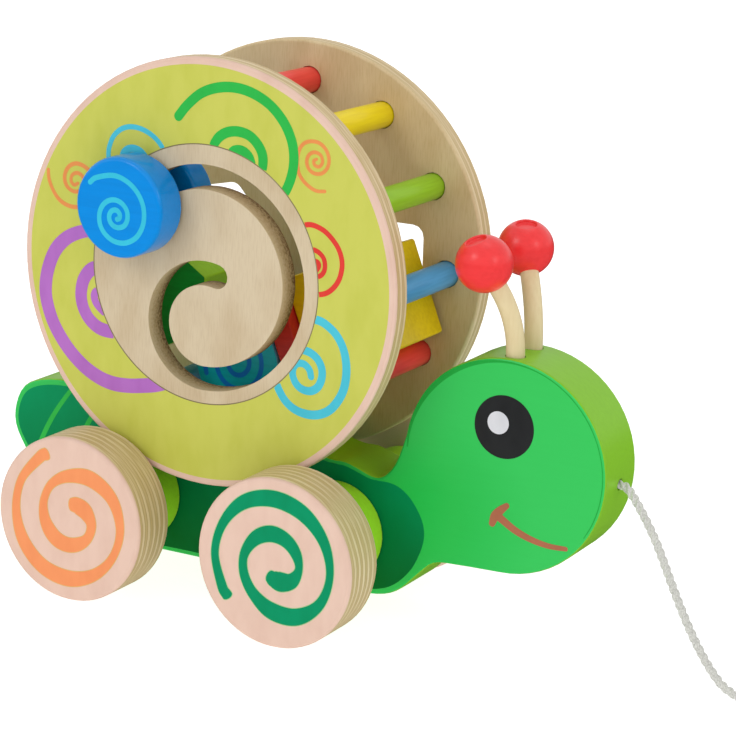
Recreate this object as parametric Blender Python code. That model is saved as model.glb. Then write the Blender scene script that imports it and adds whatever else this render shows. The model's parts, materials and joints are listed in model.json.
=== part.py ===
"""Wooden pull-along snail: a shape-sorter shell drum on a wheeled body.

Metres, +Z up, +X towards the head. The origin is on the floor under the middle of the toy.
The shell is two plywood discs held apart by coloured dowels. A slider runs in a spiral slot of
the front disc, and four loose blocks lie in the drum.
"""

import math

import bmesh
import bpy
from mathutils import Matrix, Vector

MM = 0.001

# Clearances between pieces
SEAT_GAP = 0.3 * MM
RUNNING_GAP = 0.4 * MM
SLOT_PLAY = 1.0 * MM
HOLE_PLAY = 1.0 * MM

# Shell drum
DISC_RADIUS = 70 * MM
DISC_THICKNESS = 8 * MM
DISC_EDGE_ROUND = 1.0 * MM
DISC_FLOOR_GAP = 42 * MM
DRUM_INNER_WIDTH = 52 * MM
DOWEL_RADIUS = 4.4 * MM
DOWEL_INSET = 13.2 * MM
DOWEL_SOCKET = 4 * MM
DOWEL_FIRST_ANGLE = 87.3
DOWEL_STEP_ANGLE = 30
DOWELS_TO_HEAD = 4
DOWELS_TO_TAIL = 6
PIN_RADIUS = 3 * MM
PIN_INSET = 10 * MM
PIN_ANGLES = (-76, -104)

# Spiral slot and its slider
TRACK_SHIFT_X = 0.5 * MM
TRACK_SHIFT_Z = -1.0 * MM
TRACK_START_ANGLE = 138
CURL_END_ANGLE = -285
SPINDLE_RADIUS = 3 * MM
OUTER_KNOB_RADIUS = 16.4 * MM
OUTER_KNOB_THICKNESS = 13 * MM
INNER_KNOB_RADIUS = 16 * MM
INNER_KNOB_THICKNESS = 10.5 * MM
KNOB_EDGE_ROUND = 1.6 * MM
KNOB_GAP = 0.5 * MM
KNOB_SOCKET = 6 * MM

# Wheels, axles and the bosses that hold the wheels outside the shell
WHEEL_RADIUS = 28 * MM
WHEEL_THICKNESS = 18 * MM
WHEEL_EDGE_ROUND = 1.2 * MM
WHEEL_DISC_GAP = 2 * MM
WHEEL_SOCKET = 10 * MM
AXLE_RADIUS = 4 * MM
FRONT_AXLE_X = 40 * MM
REAR_AXLE_X = -38.5 * MM
BOSS_RADIUS = 17 * MM
BOSS_EDGE_ROUND = 0.8 * MM

# Body slab: heights from the floor, lengths from the drum axis
SLAB_THICKNESS = 24 * MM
SLAB_EDGE_ROUND = 1.0 * MM
BELLY_HEIGHT = 7.5 * MM
BELLY_FRONT_X = 48 * MM
BELLY_REAR_X = -50 * MM
BELLY_CORNER_LEAD = 12 * MM
HEAD_RADIUS = 35.2 * MM
HEAD_X = 98.5 * MM
HEAD_HEIGHT = 59.5 * MM
NOTCH_HEIGHT = 48.4 * MM
SADDLE_HALF_LENGTH = 11 * MM
BODY_DOWEL_GAP = 2.8 * MM
TAIL_LENGTH = 91.3 * MM
TAIL_HEIGHT = 61.6 * MM

# Antennae
STEM_RADIUS = 3 * MM
STEM_SPREAD = 6.6 * MM
STEM_SOCKET = 8 * MM
STEM_ELBOW_RISE = 11.5 * MM
BEAD_RADIUS = 9.1 * MM
BEAD_BACK = 8.2 * MM
BEAD_SPREAD = 15 * MM
BEAD_RISE = 29.8 * MM

# Loose blocks
BLOCK_DEPTH = 30 * MM
BLOCK_EDGE_ROUND = 1.0 * MM
BLOCK_FRONT_GAP = 13 * MM
HEXAGON_LEAN_ANGLE = 147
CUBE_TILT = 21.8
CUBE_BACK_GAP = 1.5 * MM

# Sorting holes of the back disc: direction and turn
SQUARE_HOLE_ANGLE = -9
HEXAGON_HOLE_ANGLE = 179
HEXAGON_HOLE_TURN = 12
BRICK_HOLE_ANGLE = 90
HOLE_CORNER_ROUND = 4 * MM

# Shares of the clear radius inside the dowel cage, so that these sizes follow the discs
SADDLE_DROP_SHARE = 49.7 / 52.4
TRACK_SHARE = 33 / 52.4
CURL_SHARE = 17.4 / 52.4
ROUND_BLOCK_SHARE = 16 / 52.4
HEXAGON_BLOCK_SHARE = 18.4 / 52.4
CUBE_SIDE_SHARE = 32.6 / 52.4
CUBE_OVERHANG_SHARE = 12.2 / 52.4
BRICK_HEIGHT_SHARE = 35.5 / 52.4
BRICK_WIDTH_SHARE = 7.8 / 52.4
HOLE_RING_SHARE = 31 / 52.4

# Pull cord, its put-away coil and the pieces on it
CORD_RADIUS = 1.5 * MM
CORD_HOLE_ANGLE = -4.2
CORD_HOLE_DEPTH = 14 * MM
TIE_THICKNESS = 0.6 * MM
TIE_WIDTH = 5 * MM
COIL_MID_RADIUS = 16.5 * MM
COIL_TURNS = 2.5
COIL_PITCH = 3.55 * MM
COIL_CLIMB_DIP = 1.1 * MM
COIL_POINTS_PER_TURN = 24
KNOT_RADIUS = 3.6 * MM
KNOT_LENGTH = 4.6 * MM

# Points of the cord from the drum axis, in millimetres: along, across and up
CORD_ROUTE = (
    (122.0, 0.0, 57.8),
    (133.0, 0.0, 57.0),
    (138.4, -1.5, 54.9),
    (148.1, -4.5, 42.9),
    (156.0, -7.5, 30.0),
    (165.4, -10.5, 15.4),
    (176.2, -13.7, 4.2),
    (187.0, -17.0, 1.8),
    (194.0, -19.3, 2.45),
    (198.0, -20.6, 2.45),
)
CORD_STEPS = 2

# Segments round the circle
FINE_SEGMENTS = 96
ROUND_SEGMENTS = 48
SMALL_SEGMENTS = 16

# Places that follow from the sizes above
DRUM_HEIGHT = DISC_FLOOR_GAP + DISC_RADIUS
DISC_INNER_Y = DRUM_INNER_WIDTH / 2
DISC_OUTER_Y = DISC_INNER_Y + DISC_THICKNESS
DOWEL_RING = DISC_RADIUS - DOWEL_INSET
CAGE_CLEAR = DOWEL_RING - DOWEL_RADIUS
PIN_RING = DISC_RADIUS - PIN_INSET
SLAB_Y = SLAB_THICKNESS / 2
WHEEL_INNER_Y = DISC_OUTER_Y + WHEEL_DISC_GAP
SADDLE_HEIGHT = DRUM_HEIGHT - CAGE_CLEAR * SADDLE_DROP_SHARE
HEAD_TOP = HEAD_HEIGHT + HEAD_RADIUS
SLOT_HALF_WIDTH = SPINDLE_RADIUS + SLOT_PLAY
TRACK_RADIUS = CAGE_CLEAR * TRACK_SHARE
CURL_RADIUS = CAGE_CLEAR * CURL_SHARE
BLOCK_FRONT_Y = -BLOCK_FRONT_GAP
ROUND_BLOCK_RADIUS = CAGE_CLEAR * ROUND_BLOCK_SHARE
HEXAGON_BLOCK_RADIUS = CAGE_CLEAR * HEXAGON_BLOCK_SHARE
CUBE_SIDE = CAGE_CLEAR * CUBE_SIDE_SHARE
CUBE_OVERHANG = CAGE_CLEAR * CUBE_OVERHANG_SHARE
BRICK_HEIGHT = CAGE_CLEAR * BRICK_HEIGHT_SHARE
BRICK_WIDTH = CAGE_CLEAR * BRICK_WIDTH_SHARE
HOLE_RING_RADIUS = CAGE_CLEAR * HOLE_RING_SHARE


def polar(radius, degrees, centre=(0.0, 0.0)):
    """A point (x, z) at this radius and angle, counted from +X towards +Z."""
    angle = math.radians(degrees)
    return (centre[0] + radius * math.cos(angle), centre[1] + radius * math.sin(angle))


def arc(centre, radius, start, end, steps):
    """Points (x, z) along an arc, both ends among them."""
    return [polar(radius, start + (end - start) * i / steps, centre) for i in range(steps + 1)]


def smooth_run(points, steps):
    """A smooth curve through points. The first and last only lead it, and aren't on it."""
    run = []
    vectors = [Vector(p) for p in points]
    for a, b, c, d in zip(vectors, vectors[1:], vectors[2:], vectors[3:]):
        for i in range(steps):
            t = i / steps
            bend = (2 * a - 5 * b + 4 * c - d) * t * t
            twist = (3 * b - a - 3 * c + d) * t * t * t
            run.append((2 * b + (c - a) * t + bend + twist) / 2)
    return run + [vectors[-2]]


def linear(hex_colour):
    """Linear RGBA of an sRGB hex colour."""
    shares = [int(hex_colour[i : i + 2], 16) / 255 for i in (0, 2, 4)]
    return [((s + 0.055) / 1.055) ** 2.4 if s > 0.04045 else s / 12.92 for s in shares] + [1.0]


def paint(obj, hex_colour, roughness=0.35, metallic=0.0):
    """Gives an object its own Principled material."""
    material = bpy.data.materials.new(obj.name + "_finish")
    material.use_nodes = True
    shader = material.node_tree.nodes["Principled BSDF"]
    shader.inputs["Base Color"].default_value = linear(hex_colour)
    shader.inputs["Roughness"].default_value = roughness
    shader.inputs["Metallic"].default_value = metallic
    material.diffuse_color = linear(hex_colour)
    obj.data.materials.append(material)


def add(name, data, hex_colour, location=(0, 0, 0), parent=None, roughness=0.35):
    """Puts a mesh or curve into the scene as a named, painted object."""
    data.name = name
    obj = bpy.data.objects.new(name, data)
    bpy.context.scene.collection.objects.link(obj)
    obj.location = location
    obj.parent = parent
    if obj.type == "MESH":
        data.shade_smooth()
        data.set_sharp_from_angle(angle=math.radians(35))
    paint(obj, hex_colour, roughness)
    return obj


def axis_empty(name, location, parent=None):
    """An empty that stands on an axis and carries the pieces fixed to it."""
    empty = bpy.data.objects.new(name, None)
    empty.location = location
    empty.parent = parent
    bpy.context.scene.collection.objects.link(empty)
    return empty


def mesh_of(bm):
    """Turns a bmesh into a mesh with its faces pointing out."""
    bmesh.ops.recalc_face_normals(bm, faces=bm.faces)
    mesh = bpy.data.meshes.new("shape")
    bm.to_mesh(mesh)
    bm.free()
    return mesh


def extrude_outline(bm, outline, y_low, y_high):
    """Adds a prism to a bmesh: an outline of (x, z) points, extruded along Y."""
    face = bm.faces.new([bm.verts.new((x, y_low, z)) for x, z in outline])
    grown = bmesh.ops.extrude_face_region(bm, geom=[face])
    tops = [v for v in grown["geom"] if isinstance(v, bmesh.types.BMVert)]
    bmesh.ops.translate(bm, verts=tops, vec=(0, y_high - y_low, 0))


def prism(outline, y_low, y_high):
    """A mesh of one prism along Y."""
    bm = bmesh.new()
    extrude_outline(bm, outline, y_low, y_high)
    return mesh_of(bm)


def turned(profile, segments):
    """A mesh turned about Y from (radius, y) points. A profile off the axis closes to a ring."""
    bm = bmesh.new()
    verts = [bm.verts.new((radius, y, 0)) for radius, y in profile]
    edges = [bm.edges.new(pair) for pair in zip(verts, verts[1:])]
    if profile[0][0] > 0:
        edges.append(bm.edges.new((verts[-1], verts[0])))
    whole = {"cent": (0, 0, 0), "axis": (0, 1, 0), "angle": math.tau, "steps": segments, "use_merge": True}
    bmesh.ops.spin(bm, geom=verts + edges, **whole)
    bmesh.ops.remove_doubles(bm, verts=bm.verts, dist=1e-6)
    return mesh_of(bm)


def rounded_end(radius, y, inward, fillet, steps=2):
    """Profile points (radius, y) of a filleted rim at height y, from the flat end to the side."""
    points = []
    for i in range(steps + 1):
        angle = math.pi / 2 * i / steps
        points.append((radius - fillet * (1 - math.sin(angle)), y + inward * fillet * (1 - math.cos(angle))))
    return points


def rounded_rod(radius, y_low, y_high, fillet):
    """Profile of a solid round piece with both rims filleted."""
    low = rounded_end(radius, y_low, 1, fillet)
    high = rounded_end(radius, y_high, -1, fillet)
    return [(0, y_low)] + low + high[::-1] + [(0, y_high)]


def socketed_rod(radius, y_low, y_high, fillet, bore, depth):
    """Profile of a round piece with a blind bore in its high end."""
    solid = rounded_rod(radius, y_low, y_high, fillet)[:-1]
    return solid + [(bore, y_high), (bore, y_high - depth), (0, y_high - depth)]


def circle_outline(radius, centre, segments=SMALL_SEGMENTS):
    """Outline of a circle in (x, z)."""
    return [polar(radius, 360 * i / segments, centre) for i in range(segments)]


def polygon_outline(corners, fillet, steps=3):
    """Outline of a convex polygon whose corners are rounded."""
    outline = []
    count = len(corners)
    for i, corner in enumerate(corners):
        here = Vector(corner)
        before = (Vector(corners[i - 1]) - here).normalized()
        after = (Vector(corners[(i + 1) % count]) - here).normalized()
        half = before.angle(after) / 2
        middle = here + (before + after).normalized() * fillet / math.sin(half)
        start = here + before * fillet / math.tan(half) - middle
        end = here + after * fillet / math.tan(half) - middle
        turn = start.angle_signed(end)
        for k in range(steps + 1):
            swing = Matrix.Rotation(-turn * k / steps, 2)
            outline.append(tuple(middle + swing @ start))
    return outline


def tilted_rectangle(width, height, degrees, centre, fillet):
    """Outline of a rounded rectangle, turned by an angle about its middle."""
    turn = Matrix.Rotation(math.radians(degrees), 2)
    signs = ((-1, -1), (1, -1), (1, 1), (-1, 1))
    halves = [Vector((sign_x * width / 2, sign_z * height / 2)) for sign_x, sign_z in signs]
    return polygon_outline([tuple(Vector(centre) + turn @ half) for half in halves], fillet)


def hexagon_outline(radius, corner_angle, centre, fillet):
    """Outline of a rounded hexagon with one corner at this angle."""
    return polygon_outline([polar(radius, corner_angle + 60 * i, centre) for i in range(6)], fillet)


def round_edges(obj, width):
    """Rounds the sharp edges of a prism."""
    bevel = obj.modifiers.new("rounded_edges", "BEVEL")
    bevel.width = width
    bevel.segments = 2
    bevel.limit_method = "ANGLE"
    bevel.angle_limit = math.radians(50)


def cut(obj, bm):
    """Cuts a bmesh of closed shapes out of an object, in the object's own coordinates."""
    name = obj.name + "_cuts"
    cutter = bpy.data.objects.new(name, mesh_of(bm))
    bpy.context.scene.collection.objects.link(cutter)
    cutter.parent = obj
    cutter.hide_render = True
    cutter.display_type = "WIRE"
    boolean = obj.modifiers.new(name, "BOOLEAN")
    boolean.operation = "DIFFERENCE"
    boolean.solver = "EXACT"
    boolean.object = cutter


def add_rod(bm, start, direction, length, radius, segments=SMALL_SEGMENTS):
    """Adds a straight round rod to a bmesh, from a start point along a direction."""
    axis = Vector(direction).normalized()
    turn = Vector((0, 0, 1)).rotation_difference(axis).to_matrix().to_4x4()
    place = Matrix.Translation(Vector(start) + axis * length / 2) @ turn
    bmesh.ops.create_cone(
        bm, cap_ends=True, segments=segments, radius1=radius, radius2=radius, depth=length, matrix=place
    )


def tube(points, radius, resolution):
    """A round tube with filled ends along points, as a curve."""
    curve = bpy.data.curves.new("tube", "CURVE")
    curve.dimensions = "3D"
    curve.bevel_depth = radius
    curve.bevel_resolution = resolution
    curve.use_fill_caps = True
    spline = curve.splines.new("POLY")
    spline.points.add(len(points) - 1)
    for point, place in zip(spline.points, points):
        point.co = (*place, 1)
    return curve


def dowel_angles():
    """Angles of the cage dowels. They leave room for the body at the bottom."""
    return [DOWEL_FIRST_ANGLE + DOWEL_STEP_ANGLE * i for i in range(-DOWELS_TO_HEAD - 1, DOWELS_TO_TAIL)]


def below_dowel(angle):
    """The point of the body's back that passes under a cage dowel."""
    x, z = polar(DOWEL_RING, angle, (0, DRUM_HEIGHT))
    return (x, z - DOWEL_RADIUS - BODY_DOWEL_GAP)


def body_outline():
    """The slab seen from the side, from the chin round the head, back, tail and belly."""
    head = arc((HEAD_X, HEAD_HEIGHT), HEAD_RADIUS, -90, 172, 44)
    chin = HEAD_HEIGHT - HEAD_RADIUS
    saddle_front = (SADDLE_HALF_LENGTH, SADDLE_HEIGHT)
    saddle_rear = (-SADDLE_HALF_LENGTH, SADDLE_HEIGHT)
    belly_rear = (BELLY_REAR_X, BELLY_HEIGHT)
    belly_front = (BELLY_FRONT_X, BELLY_HEIGHT)
    nape = head[-1][0]
    under_front = below_dowel(dowel_angles()[0])
    under_rear = below_dowel(dowel_angles()[-1])
    neck = [
        head[-3],
        head[-1],
        (nape - 3.6 * MM, NOTCH_HEIGHT + 5.6 * MM),
        (nape - 8.0 * MM, NOTCH_HEIGHT + 0.5 * MM),
        (nape - 12 * MM, NOTCH_HEIGHT),
        (nape - 16.5 * MM, NOTCH_HEIGHT + 1.5 * MM),
        (nape - 22 * MM, NOTCH_HEIGHT + 3.1 * MM),
        (nape - 28 * MM, NOTCH_HEIGHT + 3.2 * MM),
        under_front,
        (saddle_front[0] * 0.57 + under_front[0] * 0.43, SADDLE_HEIGHT - 2.4 * MM),
        saddle_front,
        saddle_rear,
    ]
    back = [
        saddle_front,
        saddle_rear,
        (saddle_rear[0] * 0.6 + under_rear[0] * 0.4, SADDLE_HEIGHT - 2.4 * MM),
        under_rear,
        (-42 * MM, TAIL_HEIGHT - 5.6 * MM),
        (-56 * MM, TAIL_HEIGHT - 1.6 * MM),
        (-68 * MM, TAIL_HEIGHT),
        (-TAIL_LENGTH + 11.5 * MM, TAIL_HEIGHT - 1.2 * MM),
        (-TAIL_LENGTH + 4.0 * MM, TAIL_HEIGHT - 4.8 * MM),
        (-TAIL_LENGTH + 0.5 * MM, TAIL_HEIGHT - 11.5 * MM),
        (-TAIL_LENGTH + 0.2 * MM, TAIL_HEIGHT - 19 * MM),
        (-TAIL_LENGTH + 4.4 * MM, TAIL_HEIGHT - 27.2 * MM),
        (-78 * MM, BELLY_HEIGHT + 14.5 * MM),
        (-66 * MM, BELLY_HEIGHT + 4.8 * MM),
        belly_rear,
        (BELLY_REAR_X + BELLY_CORNER_LEAD, BELLY_HEIGHT),
    ]
    foot = [
        (BELLY_FRONT_X - BELLY_CORNER_LEAD, BELLY_HEIGHT),
        belly_front,
        (57.5 * MM, BELLY_HEIGHT + 1.2 * MM),
        (64 * MM, BELLY_HEIGHT + 4.6 * MM),
        (70.5 * MM, chin - 5.6 * MM),
        (75.5 * MM, chin - 1.4 * MM),
        (83 * MM, chin - 0.5 * MM),
        head[0],
        head[1],
    ]
    outline = head[:-1]
    for run in (neck, back, foot):
        outline += [tuple(p) for p in smooth_run(run, 3)]
    return outline[:-1]


BODY_OUTLINE = body_outline()
DRUM_X = -(min(x for x, _ in BODY_OUTLINE) + max(x for x, _ in BODY_OUTLINE)) / 2


def add_body():
    """The green slab with its axle bores, pin bores, antenna sockets and cord hole."""
    slab = add("body_slab", prism(BODY_OUTLINE, -SLAB_Y, SLAB_Y), "1F9A48", (DRUM_X, 0, 0))
    round_edges(slab, SLAB_EDGE_ROUND)
    bores = bmesh.new()
    through = SLAB_THICKNESS + 4 * SLAB_EDGE_ROUND
    for axle_x in (FRONT_AXLE_X, REAR_AXLE_X):
        start = (axle_x, -through / 2, WHEEL_RADIUS)
        add_rod(bores, start, (0, 1, 0), through, AXLE_RADIUS + RUNNING_GAP, ROUND_SEGMENTS // 2)
    for angle in PIN_ANGLES:
        x, z = polar(PIN_RING, angle, (0, DRUM_HEIGHT))
        add_rod(bores, (x, -through / 2, z), (0, 1, 0), through, PIN_RADIUS + SEAT_GAP)
    for side in (-1, 1):
        start = (HEAD_X, side * STEM_SPREAD, HEAD_TOP - STEM_SOCKET)
        add_rod(bores, start, (0, 0, 1), 2 * STEM_SOCKET, STEM_RADIUS + SEAT_GAP)
    x, z = polar(HEAD_RADIUS - CORD_HOLE_DEPTH, CORD_HOLE_ANGLE, (HEAD_X, HEAD_HEIGHT))
    radial = polar(1, CORD_HOLE_ANGLE)
    add_rod(bores, (x, 0, z), (radial[0], 0, radial[1]), 2 * CORD_HOLE_DEPTH, CORD_RADIUS + RUNNING_GAP)
    cut(slab, bores)


def add_sockets(bm, y_face, y_floor):
    """Adds the sockets of the dowels and pins to a disc's cutter."""
    rings = [(angle, DOWEL_RING, DOWEL_RADIUS) for angle in dowel_angles()]
    rings += [(angle, PIN_RING, PIN_RADIUS) for angle in PIN_ANGLES]
    for angle, ring, radius in rings:
        outline = circle_outline(radius + SEAT_GAP, polar(ring, angle))
        extrude_outline(bm, outline, min(y_face, y_floor), max(y_face, y_floor))


def slot_outline():
    """Outline of the spiral slot: a wide arc that runs into a half-size curl."""
    track = (TRACK_SHIFT_X, TRACK_SHIFT_Z)
    curl = (track[0], track[1] - TRACK_RADIUS + CURL_RADIUS)
    half = SLOT_HALF_WIDTH
    start = polar(TRACK_RADIUS, TRACK_START_ANGLE, track)
    end = polar(CURL_RADIUS, CURL_END_ANGLE, curl)
    outer = arc(track, TRACK_RADIUS + half, TRACK_START_ANGLE, -90, 44)
    outer += arc(curl, CURL_RADIUS + half, -90, CURL_END_ANGLE, 26)[1:]
    inner = arc(track, TRACK_RADIUS - half, TRACK_START_ANGLE, -90, 44)
    inner += arc(curl, CURL_RADIUS - half, -90, CURL_END_ANGLE, 26)[1:]
    end_cap = arc(end, half, CURL_END_ANGLE, CURL_END_ANGLE - 180, 8)[1:-1]
    start_cap = arc(start, half, TRACK_START_ANGLE + 180, TRACK_START_ANGLE, 8)[1:-1]
    return outer + end_cap + inner[::-1] + start_cap


def add_drum(drum):
    """The two discs of the shell, the dowels between them and the pins that hold them to the body."""
    disc = rounded_rod(DISC_RADIUS, DISC_INNER_Y, DISC_OUTER_Y, DISC_EDGE_ROUND)
    front_profile = [(radius, -y) for radius, y in disc]
    front = add("front_shell_disc", turned(front_profile, FINE_SEGMENTS), "C5C954", parent=drum)
    back = add("back_shell_disc", turned(disc, FINE_SEGMENTS), "D8C49E", parent=drum)
    clear = DISC_THICKNESS / 2
    slot = bmesh.new()
    extrude_outline(slot, slot_outline(), -DISC_OUTER_Y - clear, -DISC_INNER_Y + clear)
    add_sockets(slot, -DISC_INNER_Y + clear, -DISC_INNER_Y - DOWEL_SOCKET)
    cut(front, slot)
    holes = bmesh.new()
    for outline in sorting_holes():
        extrude_outline(holes, outline, DISC_INNER_Y - clear, DISC_OUTER_Y + clear)
    add_sockets(holes, DISC_INNER_Y - clear, DISC_INNER_Y + DOWEL_SOCKET)
    cut(back, holes)
    colours = (("red", "F04A44"), ("blue", "4F9BCB"), ("green", "8DB82A"), ("yellow", "E0C400"))
    reach = DISC_INNER_Y + DOWEL_SOCKET - SEAT_GAP
    dowel = rounded_rod(DOWEL_RADIUS, -reach, reach, DOWEL_RADIUS / 8)
    pin = rounded_rod(PIN_RADIUS, -reach, reach, PIN_RADIUS / 8)
    for i, angle in enumerate(dowel_angles()):
        colour_name, colour = colours[(i - DOWELS_TO_HEAD - 1) % len(colours)]
        name = f"cage_dowel_{i + 1:02d}_{colour_name}"
        x, z = polar(DOWEL_RING, angle)
        add(name, turned(dowel, SMALL_SEGMENTS), colour, (x, 0, z), drum)
    for name, angle in zip(("saddle_pin_front", "saddle_pin_rear"), PIN_ANGLES):
        x, z = polar(PIN_RING, angle)
        add(name, turned(pin, SMALL_SEGMENTS), "D8C49E", (x, 0, z), drum)


def add_slider(drum):
    """The slider: an outer and an inner knob on a spindle that runs in the slot."""
    track = axis_empty("slider_track_axis", (TRACK_SHIFT_X, 0, TRACK_SHIFT_Z), drum)
    x, z = polar(TRACK_RADIUS, TRACK_START_ANGLE)
    bore = SPINDLE_RADIUS + SEAT_GAP
    outer_knob = socketed_rod(OUTER_KNOB_RADIUS, -OUTER_KNOB_THICKNESS, 0, KNOB_EDGE_ROUND, bore, KNOB_SOCKET)
    inner_knob = socketed_rod(INNER_KNOB_RADIUS, -INNER_KNOB_THICKNESS, 0, KNOB_EDGE_ROUND, bore, KNOB_SOCKET)
    outer_y = -DISC_OUTER_Y - KNOB_GAP
    inner_y = -DISC_INNER_Y + KNOB_GAP
    add("slider_knob_outer", turned(outer_knob, ROUND_SEGMENTS), "0A86E0", (x, outer_y, z), track)
    inner = add("slider_knob_inner", turned(inner_knob, ROUND_SEGMENTS), "0A5FA8", (x, inner_y, z), track)
    inner.rotation_euler = (0, 0, math.pi)
    low = outer_y - KNOB_SOCKET + SEAT_GAP
    high = inner_y + KNOB_SOCKET - SEAT_GAP
    spindle = rounded_rod(SPINDLE_RADIUS, low, high, SPINDLE_RADIUS / 8)
    add("slider_spindle", turned(spindle, SMALL_SEGMENTS), "D8C49E", (x, 0, z), track)


def add_running_gear():
    """Both axles with their wheels, and the bosses glued to the body."""
    boss_y = (SLAB_Y + SEAT_GAP, WHEEL_INNER_Y - RUNNING_GAP)
    rim = rounded_end(BOSS_RADIUS, boss_y[0], 1, BOSS_EDGE_ROUND)
    rim += rounded_end(BOSS_RADIUS, boss_y[1], -1, BOSS_EDGE_ROUND)[::-1]
    bore = AXLE_RADIUS + RUNNING_GAP
    boss = [(bore, boss_y[0])] + rim + [(bore, boss_y[1])]
    wheel = socketed_rod(
        WHEEL_RADIUS, -WHEEL_INNER_Y - WHEEL_THICKNESS, -WHEEL_INNER_Y, WHEEL_EDGE_ROUND,
        AXLE_RADIUS + SEAT_GAP, WHEEL_SOCKET,
    )
    reach = WHEEL_INNER_Y + WHEEL_SOCKET - SEAT_GAP
    axle = rounded_rod(AXLE_RADIUS, -reach, reach, AXLE_RADIUS / 8)
    for end, axle_x in (("front", FRONT_AXLE_X), ("rear", REAR_AXLE_X)):
        centre = axis_empty(f"{end}_axle_axis", (DRUM_X + axle_x, 0, WHEEL_RADIUS))
        name = f"{end}_axle"
        add(name, turned(axle, SMALL_SEGMENTS), "C9B184", parent=centre)
        for side, turn in (("right", 0), ("left", math.pi)):
            name = f"wheel_{end}_{side}"
            piece = add(name, turned(wheel, FINE_SEGMENTS * 2 // 3), "E3C2B0", parent=centre)
            piece.rotation_euler = (0, 0, turn)
            name = f"axle_boss_{end}_{side}"
            piece = add(name, turned(boss, ROUND_SEGMENTS), "86BE20", parent=centre)
            piece.rotation_euler = (0, 0, turn + math.pi)


def add_antennae():
    """Two bent stems in the head, each with a drilled bead on its end."""
    for name, side in (("right", -1), ("left", 1)):
        foot = Vector((DRUM_X + HEAD_X, side * STEM_SPREAD, HEAD_TOP))
        elbow = foot + Vector((0, 0, STEM_ELBOW_RISE))
        bead_centre = Vector((DRUM_X + HEAD_X - BEAD_BACK, side * BEAD_SPREAD, HEAD_TOP + BEAD_RISE))
        lean = (bead_centre - elbow).normalized()
        neck = bead_centre - lean * (BEAD_RADIUS + SEAT_GAP)
        points = [foot - Vector((0, 0, STEM_SOCKET - SEAT_GAP))]
        bend_steps = 9
        for i in range(bend_steps + 1):
            t = i / bend_steps
            points.append(foot * (1 - t) ** 2 + elbow * 2 * t * (1 - t) + neck * t * t)
        points.append(bead_centre)
        add(f"antenna_stem_{name}", tube(points, STEM_RADIUS, 3), "E3D3A0")
        ball = bmesh.new()
        bmesh.ops.create_uvsphere(ball, u_segments=28, v_segments=16, radius=BEAD_RADIUS)
        bead = add(f"antenna_bead_{name}", mesh_of(ball), "F03A3C", bead_centre)
        hole = bmesh.new()
        add_rod(hole, -2 * BEAD_RADIUS * lean, lean, 4 * BEAD_RADIUS, STEM_RADIUS + SEAT_GAP)
        cut(bead, hole)


def round_block_centre():
    """Where the round block lies on the saddle, in front of its hole."""
    return (0.0, SADDLE_HEIGHT + SEAT_GAP + ROUND_BLOCK_RADIUS - DRUM_HEIGHT)


def leaning_centres():
    """Middles of the cube and the brick, which stand tilted side by side on the two lowest front dowels."""
    angle = math.radians(CUBE_TILT)
    along = Vector((math.cos(angle), math.sin(angle)))
    up = Vector((-math.sin(angle), math.cos(angle)))
    brick_dowel, cube_dowel = (Vector(polar(DOWEL_RING, dowel)) for dowel in dowel_angles()[:2])
    seat = DOWEL_RADIUS + SEAT_GAP
    cube = cube_dowel + up * (seat + CUBE_SIDE / 2) + along * (CUBE_OVERHANG - CUBE_SIDE / 2)
    brick_along = cube.dot(along) - CUBE_SIDE / 2 - RUNNING_GAP - BRICK_WIDTH / 2
    brick_up = brick_dowel.dot(up) + seat + BRICK_HEIGHT / 2
    return cube, along * brick_along + up * brick_up


def sorting_holes():
    """Outlines of the four holes in the back disc, one for each block."""
    square = polar(HOLE_RING_RADIUS, SQUARE_HOLE_ANGLE)
    side, slit_height, slit_width = (size + 2 * HOLE_PLAY for size in (CUBE_SIDE, BRICK_HEIGHT, BRICK_WIDTH))
    hexagon = polar(HOLE_RING_RADIUS, HEXAGON_HOLE_ANGLE)
    slit = polar(HOLE_RING_RADIUS, BRICK_HOLE_ANGLE)
    return (
        tilted_rectangle(side, side, 0, square, HOLE_CORNER_ROUND),
        circle_outline(ROUND_BLOCK_RADIUS + HOLE_PLAY, round_block_centre(), ROUND_SEGMENTS),
        hexagon_outline(HEXAGON_BLOCK_RADIUS + HOLE_PLAY, HEXAGON_HOLE_TURN, hexagon, HOLE_CORNER_ROUND),
        tilted_rectangle(slit_height, slit_width, 0, slit, HOLE_CORNER_ROUND),
    )


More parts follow.
